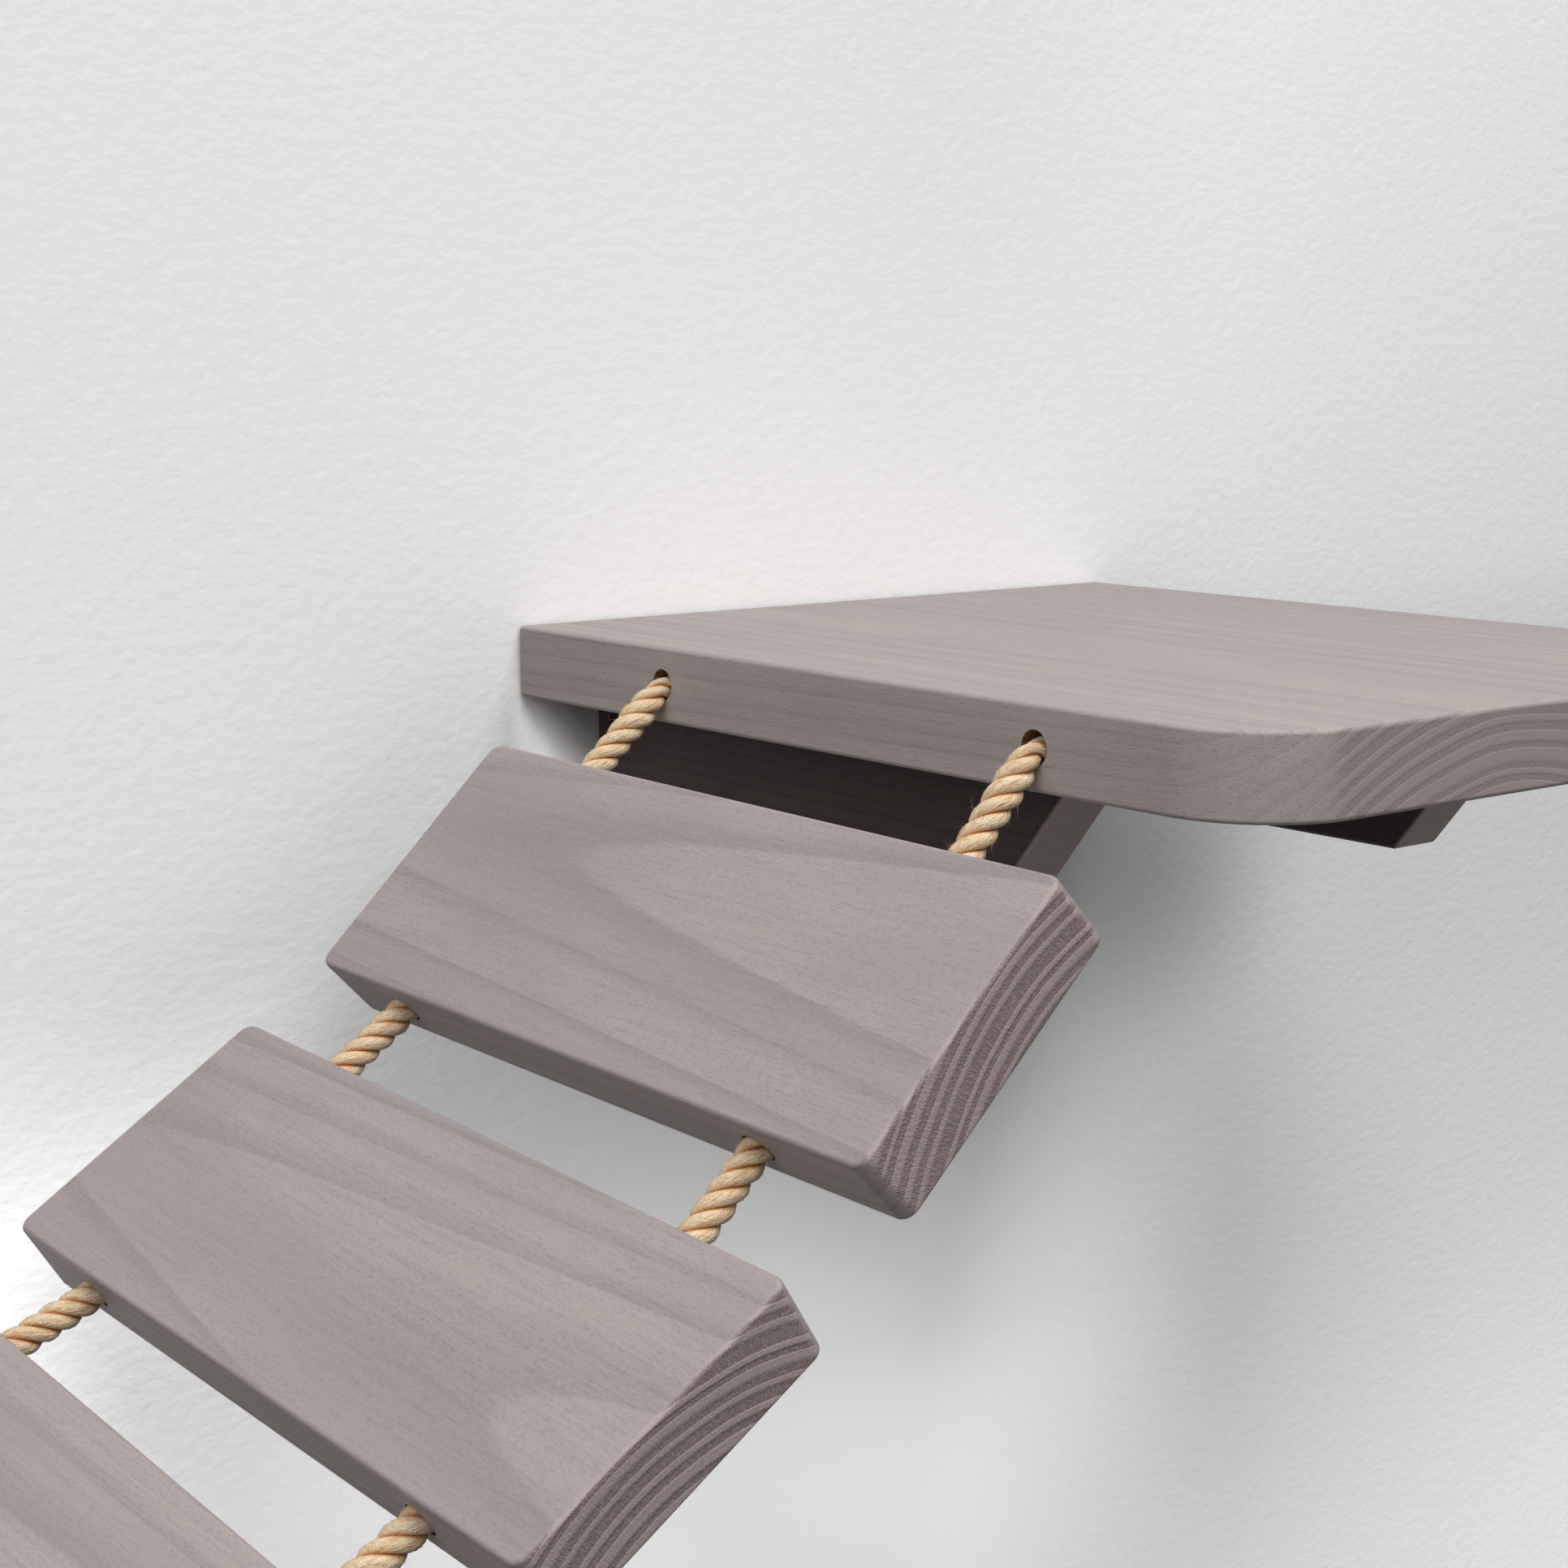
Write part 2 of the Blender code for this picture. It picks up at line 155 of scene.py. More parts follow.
def applied(item: bpy.types.Object, name: str) -> bpy.types.Object:
    """Names a new object and its mesh, and applies its place, turn and scale.

    Args:
        item: The object.
        name: Its new name.

    Returns:
        The same object.
    """
    item.name = item.data.name = name
    select_only(item)
    bpy.ops.object.transform_apply(location=True, rotation=True, scale=True)
    return item


def block(name: str, size: Sequence[float]) -> bpy.types.Object:
    """Makes a plain block about its centre, to be shaped further.

    Args:
        name: The object's name.
        size: Its three sides.

    Returns:
        The block.
    """
    bpy.ops.mesh.primitive_cube_add(size=1.0)
    item = bpy.context.object
    item.scale = size
    return applied(item, name)


def rod(start: Vector, end: Vector, radius: float, steps: int = 48) -> bpy.types.Object:
    """Makes a round cutter between two points.

    Args:
        start: The middle of one end.
        end: The middle of the other end.
        radius: The radius.
        steps: The number of sides.

    Returns:
        The cutter.
    """
    along = end - start
    turn = along.to_track_quat("Z", "Y").to_euler()
    bpy.ops.mesh.primitive_cylinder_add(
        vertices=steps, radius=radius, depth=along.length, location=(start + end) / 2, rotation=turn
    )
    return applied(bpy.context.object, "cutter")


def work_edges(item: bpy.types.Object, test: EdgeTest, work: Callable[[], object]) -> None:
    """Runs an operator on the edges that pass a test.

    Args:
        item: The object.
        test: Says whether an edge is to be selected.
        work: Runs the operator.
    """
    select_only(item)
    bpy.ops.object.mode_set(mode="EDIT")
    bpy.ops.mesh.select_mode(type="EDGE")
    bpy.ops.mesh.select_all(action="DESELECT")
    mesh = bmesh.from_edit_mesh(item.data)
    for edge in [edge for edge in mesh.edges if test(edge)]:
        edge.select_set(True)
    bmesh.update_edit_mesh(item.data)
    work()
    bpy.ops.object.mode_set(mode="OBJECT")


def round_edges(item: bpy.types.Object, test: EdgeTest, radius: float, steps: int) -> None:
    """Rounds the edges that pass a test to a radius, with so many faces across."""
    bevel = {"offset": radius, "segments": steps, "profile": 0.5, "affect": "EDGES"}
    work_edges(item, test, lambda: bpy.ops.mesh.bevel(**bevel))


def is_sharp(edge: bmesh.types.BMEdge) -> bool:
    """Whether two faces meet at a corner there."""
    return len(edge.link_faces) == 2 and edge.calc_face_angle() > SHARP_ANGLE


def is_upright(edge: bmesh.types.BMEdge) -> bool:
    """Whether an edge of a block runs up and down."""
    return abs(edge.verts[0].co.z - edge.verts[1].co.z) > UPRIGHT


def at_end(face: float) -> EdgeTest:
    """A test for the sharp edges in the two end faces, past so far along X."""
    return lambda edge: is_sharp(edge) and abs(edge.verts[0].co.x) > face


def cut(item: bpy.types.Object, cutter: bpy.types.Object) -> None:
    """Takes a cutter's shape out of an object, and removes the cutter.

    Args:
        item: The object.
        cutter: The shape to take out.
    """
    select_only(item)
    carve = item.modifiers.new("carve", "BOOLEAN")
    carve.operation = "DIFFERENCE"
    carve.solver = "EXACT"
    carve.object = cutter
    bpy.ops.object.modifier_apply(modifier=carve.name)
    bpy.data.objects.remove(cutter)


def even_shading(item: bpy.types.Object) -> None:
    """Shades roundings smoothly and keeps the flat faces beside them flat.

    Args:
        item: The object.
    """
    select_only(item)
    bpy.ops.object.shade_smooth_by_angle(angle=SMOOTH_ANGLE)
    even = item.modifiers.new("even", "WEIGHTED_NORMAL")
    even.keep_sharp = True
    bpy.ops.object.modifier_apply(modifier=even.name)


def copied(item: bpy.types.Object, name: str) -> bpy.types.Object:
    """Copies an object with its mesh.

    Args:
        item: The object.
        name: The copy's name.

    Returns:
        The copy.
    """
    data = item.data.copy()
    data.name = name
    return placed(name, data)


def painted(item: bpy.types.Object, *materials: bpy.types.Material) -> None:
    """Gives an object these materials alone.

    Args:
        item: The object.
        materials: Its materials, the first for all faces.
    """
    item.data.materials.clear()
    for material in materials:
        item.data.materials.append(material)


def points_of(item: bpy.types.Object) -> np.ndarray:
    """The vertices of an object's mesh, a row for each.

    Args:
        item: The object.

    Returns:
        The rows.
    """
    flat = np.empty(len(item.data.vertices) * 3)
    item.data.vertices.foreach_get("co", flat)
    return flat.reshape(-1, 3)


def write_attribute(item: bpy.types.Object, name: str, values: np.ndarray) -> None:
    """Stores a number or a vector at each vertex, one row each, for a material to read."""
    kind, key = ("FLOAT_VECTOR", "vector") if values.ndim > 1 else ("FLOAT", "value")
    item.data.attributes.new(name, kind, "POINT").data.foreach_set(key, values.astype(np.float32).ravel())


def whole_mesh(item: bpy.types.Object, *works: Callable[[], object]) -> None:
    """Runs operators on the whole of a mesh, and then turns its faces outward.

    Args:
        item: The object.
        works: Run one operator each.
    """
    select_only(item)
    bpy.ops.object.mode_set(mode="EDIT")
    for work in (*works, lambda: bpy.ops.mesh.normals_make_consistent(inside=False)):
        bpy.ops.mesh.select_all(action="SELECT")
        work()
    bpy.ops.object.mode_set(mode="OBJECT")


def turned(name: str, profile: Iterable[tuple[float, float]], steps: int = 32) -> bpy.types.Object:
    """Makes a solid spun about the Z axis.

    Args:
        name: The object's name.
        profile: Points as radius and height, from the top of the axis to its foot.
        steps: The number of sides.

    Returns:
        The solid.
    """
    points = [(radius, 0.0, height) for radius, height in profile]
    item = from_points(name, points, edges=[(n, n + 1) for n in range(len(points) - 1)])
    spin = {"steps": steps, "angle": 2 * math.pi, "center": (0, 0, 0), "axis": (0, 0, 1)}
    whole_mesh(item, lambda: bpy.ops.mesh.spin(**spin), lambda: bpy.ops.mesh.remove_doubles(threshold=MERGE))
    return item


def hand_over(
    item: bpy.types.Object, node: str, bodies: Sequence[str], free: Sequence[Vector] = ()
) -> None:
    """Puts a finished piece in its CAD node's place, on one body, or baked into place where it runs between two, and
    reports it.

    Args:
        item: The piece.
        node: The CAD node it stands for.
        bodies: The body it rides on, or the two bodies at its ends.
        free: For two bodies, where its free stretch starts at the first and ends at the second.
    """
    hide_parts(node)
    if free:
        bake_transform(item)
    else:
        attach(item, *bodies)
    log.info("%s: %d faces", item.name, len(item.data.polygons))


# ---------------------------------------------------------------- finishes


def tone(red: float, green: float, blue: float) -> Colour:
    """Turns a display colour into the linear one that a shader takes.

    Args:
        red: Its red, 0 to 255.
        green: Its green.
        blue: Its blue.

    Returns:
        The linear colour.
    """
    return tuple(
        share / 12.92 if share <= 0.04045 else ((share + 0.055) / 1.055) ** 2.4
        for share in (red / 255, green / 255, blue / 255)
    )


class Signal:
    """A number that varies over a surface. Sums on it add Math nodes."""

    def __init__(self, recipe: "Recipe", socket: bpy.types.NodeSocket) -> None:
        """Wraps an output socket of a recipe."""
        self.recipe = recipe
        self.socket = socket

    def __add__(self, other: "Signal | float") -> "Signal":
        """The sum."""
        return self.recipe.maths("ADD", self, other)

    def __sub__(self, other: "Signal | float") -> "Signal":
        """The difference."""
        return self.recipe.maths("SUBTRACT", self, other)

    def __rsub__(self, other: float) -> "Signal":
        """The difference, the other way round."""
        return self.recipe.maths("SUBTRACT", other, self)

    def __mul__(self, other: "Signal | float") -> "Signal":
        """The product."""
        return self.recipe.maths("MULTIPLY", self, other)

    def __truediv__(self, other: float) -> "Signal":
        """The quotient."""
        return self.recipe.maths("DIVIDE", self, other)

    def __pow__(self, other: float) -> "Signal":
        """The power."""
        return self.recipe.maths("POWER", self, other)

    __radd__ = __add__
    __rmul__ = __mul__


class Recipe:
    """The node tree of one material or world."""

    def __init__(self, owner: bpy.types.Material | bpy.types.World) -> None:
        """Starts with the nodes that Blender gives a new material or world.

        Args:
            owner: The material or the world.
        """
        self.owner = owner
        owner.use_nodes = True
        self.nodes, self.links = owner.node_tree.nodes, owner.node_tree.links

    def node(self, kind: str, settings: dict | None = None, inputs: dict | None = None) -> bpy.types.Node:
        """Adds a node.

        Args:
            kind: The node's type without its ShaderNode prefix.
            settings: Properties to set first.
            inputs: Values or links by socket name or number.

        Returns:
            The node.
        """
        made = self.nodes.new("ShaderNode" + kind)
        for key, value in (settings or {}).items():
            setattr(made, key, value)
        for key, value in (inputs or {}).items():
            self.feed(made.inputs[key], value)
        return made

    def feed(self, socket: bpy.types.NodeSocket, value: object) -> None:
        """Links or sets an input socket.

        Args:
            socket: The input.
            value: A signal, a socket, a number, a vector or a colour.
        """
        if isinstance(value, Signal):
            value = value.socket
        if isinstance(value, bpy.types.NodeSocket):
            self.links.new(value, socket)
        elif socket.type == "RGBA":
            socket.default_value = (*value, 1.0)
        else:
            socket.default_value = value

    def maths(self, operation: str, *values: "Signal | float") -> Signal:
        """The result of one Math node."""
        return Signal(self, self.node("Math", {"operation": operation}, dict(enumerate(values))).outputs[0])

    def step(self, value: Signal, low: float, high: float) -> Signal:
        """A smooth rise from 0 at low to 1 at high."""
        inputs = {"Value": value, "From Min": low, "From Max": high}
        return Signal(self, self.node("MapRange", {"interpolation_type": "SMOOTHSTEP"}, inputs).outputs["Result"])

    def attribute(self, name: str) -> bpy.types.Node:
        """The node that reads one of the piece's own attributes."""
        return self.node("Attribute", {"attribute_type": "GEOMETRY", "attribute_name": name})

    def object_place(self) -> bpy.types.NodeSocket:
        """The place on the object."""
        return self.node("TexCoord").outputs["Object"]

    def split(self, vector: bpy.types.NodeSocket) -> list[Signal]:
        """The three parts of a vector."""
        return [Signal(self, socket) for socket in self.node("SeparateXYZ", {}, {0: vector}).outputs]

    def joined(self, *parts: Signal | float) -> bpy.types.NodeSocket:
        """A vector of three parts."""
        return self.node("CombineXYZ", {}, dict(enumerate(parts))).outputs[0]

    def noise(self, vector: bpy.types.NodeSocket, scale: Sequence[float], detail: float) -> Signal:
        """Noise from about 0.2 to 0.8.

        Args:
            vector: The place.
            scale: Features in a metre along each axis.
            detail: The number of finer layers.

        Returns:
            The noise.
        """
        place = self.node("VectorMath", {"operation": "MULTIPLY"}, {0: vector, 1: scale}).outputs[0]
        made = self.node("TexNoise", {}, {"Vector": place, "Scale": 1.0, "Detail": detail, "Roughness": 0.55})
        return Signal(self, made.outputs[0])

    def mix(self, share: Signal, low: object, high: object) -> bpy.types.NodeSocket:
        """The first colour with a share of the second."""
        return self.node("Mix", {"data_type": "RGBA"}, {0: share, 6: low, 7: high}).outputs[2]

    def bump(self, height: Signal, distance: float) -> bpy.types.NodeSocket:
        """The normal of relief from 0 to 1 that is so many metres high."""
        inputs = {"Height": height, "Distance": distance, "Strength": 1.0}
        return self.node("Bump", {}, inputs).outputs["Normal"]

    def seen(self) -> Signal:
        """Tells what the camera looks at, also in a shine or through glass, from where light only falls.

        Returns:
            1 or 0.
        """
        rays = self.node("LightPath").outputs
        camera, glossy, glass = (Signal(self, rays[f"Is {kind} Ray"]) for kind in ("Camera", "Glossy", "Transmission"))
        return self.maths("MAXIMUM", self.maths("MAXIMUM", camera, glossy), glass)

    def dress(self, **inputs: object) -> bpy.types.Material:
        """Sets the shader's sockets.

        Args:
            inputs: A value or a link for each, with underscores for the spaces in its name.

        Returns:
            The material.
        """
        for key, value in inputs.items():
            name = key.replace("_", " ").title().replace("Ior", "IOR")
            self.feed(self.nodes["Principled BSDF"].inputs[name], value)
        return self.owner


@dataclass(frozen=True)
class WashedPine:
    """Pine with a grey wash. The soft early wood of each ring takes more of it than the hard late wood.

    A noise is its features in a metre across, along and up the grain, and its finer layers. A span is where a
    smooth change starts and ends, in a noise or as a share of a ring.
    """

    name: str
    pale: Colour = tone(183, 171, 167)
    cool: Colour = tone(174, 163, 164)
    early: Colour = tone(157, 146, 146)
    end_early: Colour = tone(150, 131, 129)
    end_late: Colour = tone(208, 190, 187)
    ring_gap: float = 0.00426
    ring_show: float = 0.5
    first_ring: float = 3.14
    end_relief: float = 1.0
    roughness: float = 0.62
    drift: Noise = ((22, 3.2, 22), 1.0)
    drift_reach: float = 0.0028
    year: Noise = ((210, 1, 1), 0.0)
    year_reach: float = 0.0042
    fibre: Noise = ((1150, 30, 1150), 3.0)
    vein: Noise = ((430, 11, 430), 2.0)
    cloud: Noise = ((24, 7, 24), 2.0)
    fleck: Noise = ((800, 95, 800), 1.0)
    dash: Noise = ((2300, 560, 2300), 2.0)
    dash_span: Span = (0.53, 0.64)
    ray: Noise = ((2.7, 0.9, 1.0), 2.0)
    ray_grid: tuple[float, float, float] = (105, 1000, 150)
    pore: Noise = ((1900, 1900, 1900), 2.0)
    torn_span: Span = (0.36, 0.64)
    late_span: Span = (0.3, 0.62)
    relief: float = 0.00065

    def toned(self, share: float) -> "WashedPine":
        """The same wash, giving back so much of the light."""
        kinds = ("pale", "cool", "early", "end_early", "end_late")
        return replace(self, **{kind: tuple(channel * share for channel in getattr(self, kind)) for kind in kinds})

    def make(self) -> bpy.types.Material:
        """Builds the material.

        Returns:
            The material. It reads the attributes "grain" and "end_grain" of the piece.
        """
        recipe = Recipe(bpy.data.materials.new(self.name))
        place = recipe.attribute("grain").outputs["Vector"]
        end = Signal(recipe, recipe.attribute("end_grain").outputs["Fac"])
        across, along, up = recipe.split(place)
        radius = (across * across + up * up) ** 0.5 + (recipe.noise(place, *self.drift) - 0.5) * self.drift_reach
        year = recipe.noise(recipe.joined(radius, 0.0, 0.0), *self.year)
        radius = radius + (year - 0.5) * self.year_reach
        phase = recipe.maths("FRACT", radius / self.ring_gap)
        ring = recipe.maths("FLOOR", radius / self.ring_gap)

        fibre, vein, cloud, fleck, dash, pore = (
            recipe.noise(place, *rule) for rule in (self.fibre, self.vein, self.cloud, self.fleck, self.dash, self.pore)
        )
        dash = recipe.step(dash, *self.dash_span)
        hard = recipe.step(phase, 0.0, 0.5) * (1 - recipe.step(phase, 0.95, 1.0))
        warmth = cloud + recipe.maths("SINE", ring * 2.7 + self.first_ring) * 0.1 + (vein - 0.5) * 0.3
        body = recipe.mix(recipe.step(warmth, 0.38, 0.62), self.cool, self.pale)
        soft = (1 - hard) * self.ring_show + recipe.step(fibre, 0.42, 0.68) * 0.22 + recipe.step(vein, 0.45, 0.7) * 0.2
        soft = soft + recipe.step(fleck, 0.62, 0.74) * 0.13 + dash * 0.36
        face = recipe.mix(soft, body, self.early)

        round_, out, on = self.ray_grid
        polar = recipe.joined(recipe.maths("ARCTAN2", across, up) * round_, radius * out, along * on)
        late = recipe.step(phase, *self.late_span) * (1 - recipe.step(phase, 0.9, 1.0))
        torn = recipe.step(recipe.noise(polar, *self.ray) * 0.7 + pore * 0.3, *self.torn_span)
        edge = recipe.step(phase, 0.0, 0.16)
        pale_end = late * 0.6 + torn * (1 - late * 0.6) * 0.32 + edge * 0.08
        colour = recipe.mix(end, face, recipe.mix(pale_end, self.end_early, self.end_late))

        face_relief = hard * 0.02 + fibre * 0.06 + vein * 0.03 - dash * 0.05
        end_relief = late * (0.5 * self.end_relief) + torn * (1 - late * 0.5) * (0.26 * self.end_relief) - 0.2
        normal = recipe.bump(face_relief * (1 - end) + end_relief * end, self.relief)
        rough = self.roughness + end * 0.2 + (fibre - 0.5) * 0.16
        return recipe.dress(base_color=colour, roughness=rough, normal=normal, specular_ior_level=0.3)


@dataclass(frozen=True)
class Flecked:
    """Two tones in one flecked grain: raw pine, beech or plated steel.

    The rough_spread is how far the roughness follows the flecks. A finish that follows the timber reads the
    attribute "grain", and any other one reads Object coordinates.
    """

    name: str
    low: Colour
    high: Colour
    grain: Noise
    span: Span = (0.35, 0.65)
    roughness: float = 0.75
    rough_spread: float = 0.2
    relief: float = 0.0003
    metallic: float = 0.0
    follows_timber: bool = False

    def make(self) -> bpy.types.Material:
        """Builds the material.

        Returns:
            The material.
        """
        recipe = Recipe(bpy.data.materials.new(self.name))
        place = recipe.attribute("grain").outputs["Vector"] if self.follows_timber else recipe.object_place()
        fleck = recipe.noise(place, *self.grain)
        return recipe.dress(
            base_color=recipe.mix(recipe.step(fleck, *self.span), self.low, self.high),
            roughness=self.roughness + (fleck - 0.5) * self.rough_spread,
            metallic=self.metallic,
            normal=recipe.bump(fleck, self.relief),
        )


@dataclass(frozen=True)
class Jute:
    """Pale rope yarn: fine fibres along each strand with a painted highlight on the raised threads, and painted shade
    between the yarns and down in the creases.
    """

    name: str = "jute_yarn"
    # bright is a pale fibre tone and the painted highlight on the raised threads.
    bright: Colour = tone(255, 237, 206)
    plain: Colour = tone(255, 214, 166)
    # The colour of the painted shade in the creases and in the valleys between the yarns.
    crease_shade: Colour = tone(222, 162, 104)
    fine: Noise = ((640, 3600, 3600), 2.0)
    yarn: Noise = ((380, 1400, 1400), 2.0)
    cloud: Noise = ((60, 300, 300), 2.0)
    # Where the painted shade fades out of the creases, as a share of the rope's full reach.
    crease_shade_span: Span = (0.66, 0.86)
    relief: float = 0.0014

    def make(self) -> bpy.types.Material:
        """Builds the material.

        Returns:
            The material. It reads the attributes "fibre" and "plump" of the piece.
        """
        recipe = Recipe(bpy.data.materials.new(self.name))
        place = recipe.attribute("fibre").outputs["Vector"]
        plump = Signal(recipe, recipe.attribute("plump").outputs["Fac"])
        fine, yarn, cloud = (recipe.noise(place, *rule) for rule in (self.fine, self.yarn, self.cloud))
        # The raised threads, where the relief is high, are paler as painted highlight, and the cloud noise varies the
        # tone.
        thread = recipe.step(fine * 0.5 + yarn * 0.5, 0.38, 0.60)
        colour = recipe.mix(thread * 0.7 + recipe.step(cloud, 0.35, 0.65) * 0.3, self.plain, self.bright)
        # Painted shade in the valleys between the yarns, where their relief is low.
        colour = recipe.mix((1 - recipe.step(yarn, 0.34, 0.5)) * 0.28, colour, self.crease_shade)
        # Painted shade down in the creases between the strands.
        colour = recipe.mix(1 - recipe.step(plump, *self.crease_shade_span), colour, self.crease_shade)
        normal = recipe.bump(fine * 0.4 + yarn * 0.6, self.relief)
        return recipe.dress(base_color=colour, roughness=0.92 - thread * 0.12, normal=normal, specular_ior_level=0.25)


@dataclass(frozen=True)
class Backdrop:
    """Matt paint for the wall and the floor, shown paler to the camera and open when seen from behind.

    The wall has a middle, where the bridge's is. What the camera sees of it carries painted light and painted shadow:
    painted light below the planks and the boards' ends and above the shelves' outer parts, a painted lit patch under
    each board's inner end, and painted shadow in a soft spot just past each shelf's outer end and in the nook under
    each board beside its inner bracket. Its spans are where a change starts and ends, in metres up the wall, along it,
    aside from the middle, out from the painted shadow spot, or up an edge that rises as fast as it nears. Each light
    is painted light added to what is shown, each loss is taken off, and what is faded keeps the share.
    """

    name: str
    colour: Colour
    shown: float
    middle: float | None = None
    plaster: Noise = ((200, 200, 260), 2.0)
    relief: float = 0.0002
    floor_middle: tuple[float, float] = (-0.45, -1.25)
    floor_gain: float = 0.11
    floor_power: float = 1.6
    # beside, below, fading, deep and above shape the painted light on the wall.
    beside: Span = (0.50, 0.70)
    below: Span = (-0.26, -0.04)
    fading: Span = (-1.0, -0.35)
    deep: Span = (-0.44, -0.20)
    above: Span = (0.0, 0.05)
    # The spot and its span place a soft painted shadow just past each shelf's outer end, below it.
    painted_shadow_spot: tuple[float, float] = (0.641, -0.06)
    painted_shadow: Span = (0.005, 0.095)
    # The lit spans place a patch of painted light under each board's inner end.
    lit_aside: Span = (0.346, 0.364)
    lit_edge: Span = (0.362, 0.380)
    lit_foot: Span = (-0.06, -0.02)
    # The nook spans place painted shadow in the nook under each board beside its inner bracket.
    nook_edge: Span = (0.376, 0.388)
    nook_start: Span = (0.352, 0.362)
    nook_end: Span = (0.39, 0.42)
    nook_foot: Span = (-0.03, 0.0)
    nook_top: Span = (0.022, 0.04)
    # below_light, deep_light and above_light are painted light; beside_loss and faded take some of it away.
    below_light: float = 3.15
    beside_loss: float = 2.85
    faded: float = 0.45
    deep_light: float = 0.85
    above_light: float = 0.15
    # The painted shadow spot takes off this share.
    painted_shadow_loss: float = 0.4
    # The lit patch adds this much painted light.
    lit_light: float = 1.8
    # The nook's painted shadow takes off this share.
    nook_shadow_loss: float = 0.4

    def floor_paleness(self, recipe: Recipe, place: bpy.types.NodeSocket) -> Signal:
        """How pale the camera sees the floor: more far out.

        Args:
            recipe: The material in the making.
            place: The place on the floor.

        Returns:
            The share of light it seems to give back.
        """
        along, into, _ = recipe.split(place)
        right, back = along - self.floor_middle[0], into - self.floor_middle[1]
        return ((right * right + back * back) * self.floor_gain + 1) ** self.floor_power * self.shown

    def wall_paleness(self, recipe: Recipe, place: bpy.types.NodeSocket) -> Signal:
        """How pale the camera sees the wall: painted light below the planks and the boards' ends, painted shadow at the
        brackets.

        Args:
            recipe: The material in the making.
            place: The place on the wall.

        Returns:
            The share of light it seems to give back.
        """
        along, _, height = recipe.split(place)
        aside = recipe.maths("ABSOLUTE", along - self.middle)
        edge = aside + height
        # Painted light below the planks and the boards' ends, less of it beside the shelves and towards the left, an
        # even painted light further down, and painted light above the shelves' outer parts.
        beside = recipe.step(aside, *self.beside)
        below = (1 - recipe.step(height, *self.below)) * (self.below_light - beside * self.beside_loss)
        below = below * (recipe.step(along, *self.fading) * (1 - self.faded) + self.faded)
        deep = 1 - recipe.step(height, *self.deep)
        above = recipe.step(height, *self.above) * beside
        # A soft painted shadow round a spot just past each shelf's outer end, below it.
        off, up = aside - self.painted_shadow_spot[0], height - self.painted_shadow_spot[1]
        painted_shadow = 1 - recipe.step((off * off + up * up) ** 0.5, *self.painted_shadow)
        # A patch of painted light under each board's inner end, bounded by a slanted edge.
        lit = recipe.step(aside, *self.lit_aside) * (1 - recipe.step(edge, *self.lit_edge))
        lit = lit * recipe.step(height, *self.lit_foot)
        # Painted shadow in the nook under each board beside its inner bracket.
        nook_shadow = recipe.step(edge, *self.nook_edge) * recipe.step(aside, *self.nook_start)
        nook_shadow = nook_shadow * (1 - recipe.step(aside, *self.nook_end))
        nook_shadow = nook_shadow * recipe.step(height, *self.nook_foot) * (1 - recipe.step(height, *self.nook_top))
        # Adds the painted light to what is shown.
        pale = below * (1 - deep) + deep * self.deep_light + above * self.above_light + self.shown
        # Takes off the painted shadow spot.
        pale = pale * (1 - painted_shadow * self.painted_shadow_loss)
        # Adds the painted lit patch and takes off the nook's painted shadow.
        return pale * (1 + lit * self.lit_light) * (1 - nook_shadow * self.nook_shadow_loss)

    def make(self) -> bpy.types.Material:
        """Builds the material.

        Returns:
            The material.
        """
        recipe = Recipe(bpy.data.materials.new(self.name))
        place = recipe.object_place()
        pale = (self.floor_paleness if self.middle is None else self.wall_paleness)(recipe, place)
        colour = recipe.mix(recipe.seen(), self.colour, recipe.joined(pale, pale, pale))
        plaster = recipe.bump(recipe.noise(place, *self.plaster), self.relief)
        paint = recipe.node("BsdfDiffuse", {}, {"Color": colour, "Normal": plaster}).outputs[0]
        behind = recipe.node("NewGeometry").outputs["Backfacing"]
        clear = recipe.node("BsdfTransparent").outputs[0]
        both = recipe.node("MixShader", {}, {0: behind, 1: paint, 2: clear}).outputs[0]
        recipe.nodes.remove(recipe.nodes["Principled BSDF"])
        recipe.feed(recipe.nodes["Material Output"].inputs["Surface"], both)
        return recipe.owner


BOARD = WashedPine(
    "grey_washed_board",
    pale=tone(183, 174, 167),
    cool=tone(176, 167, 166),
    end_early=tone(158, 143, 140),
    end_late=tone(182, 169, 166),
    ring_show=0.31,
    end_relief=0.3,
)
PLANK = WashedPine("grey_washed_plank").toned(0.93)
# The brackets and the rail: face tones darkened as painted shade for the deep shade under the boards, and end tones
# paler than the board's as painted light on the lit slanted bracket ends.
SUPPORT_IN_PAINTED_SHADE = WashedPine(
    "washed_support_in_painted_shade",
    pale=tone(83, 71, 69),
    cool=tone(77, 65, 64),
    early=tone(63, 52, 51),
    end_early=tone(224, 208, 201),
    end_late=tone(230, 214, 207),
    end_relief=0.3,
)
RAW = Flecked("raw_pine", tone(104, 68, 38), tone(168, 120, 72), ((700, 60, 700), 3.0), follows_timber=True)
PEG = Flecked(
    "beech_peg",
    tone(214, 182, 140),
    tone(186, 146, 104),
    ((1400, 1400, 90), 2.0),
    span=(0.4, 0.62),
    roughness=0.55,
    relief=0.0002,
)
ZINC = Flecked(
    "zinc_plate",
    tone(150, 150, 148),
    tone(196, 197, 200),
    ((900, 900, 900), 3.0),
    roughness=0.41,
    rough_spread=0.22,
    relief=0.00003,
    metallic=1.0,
)
# The bracket screws' plating is darkened as painted shade, for the deep shade on the brackets' faces.
ZINC_IN_PAINTED_SHADE = replace(ZINC, name="zinc_plate_in_painted_shade", low=tone(44, 41, 40), high=tone(66, 63, 62))


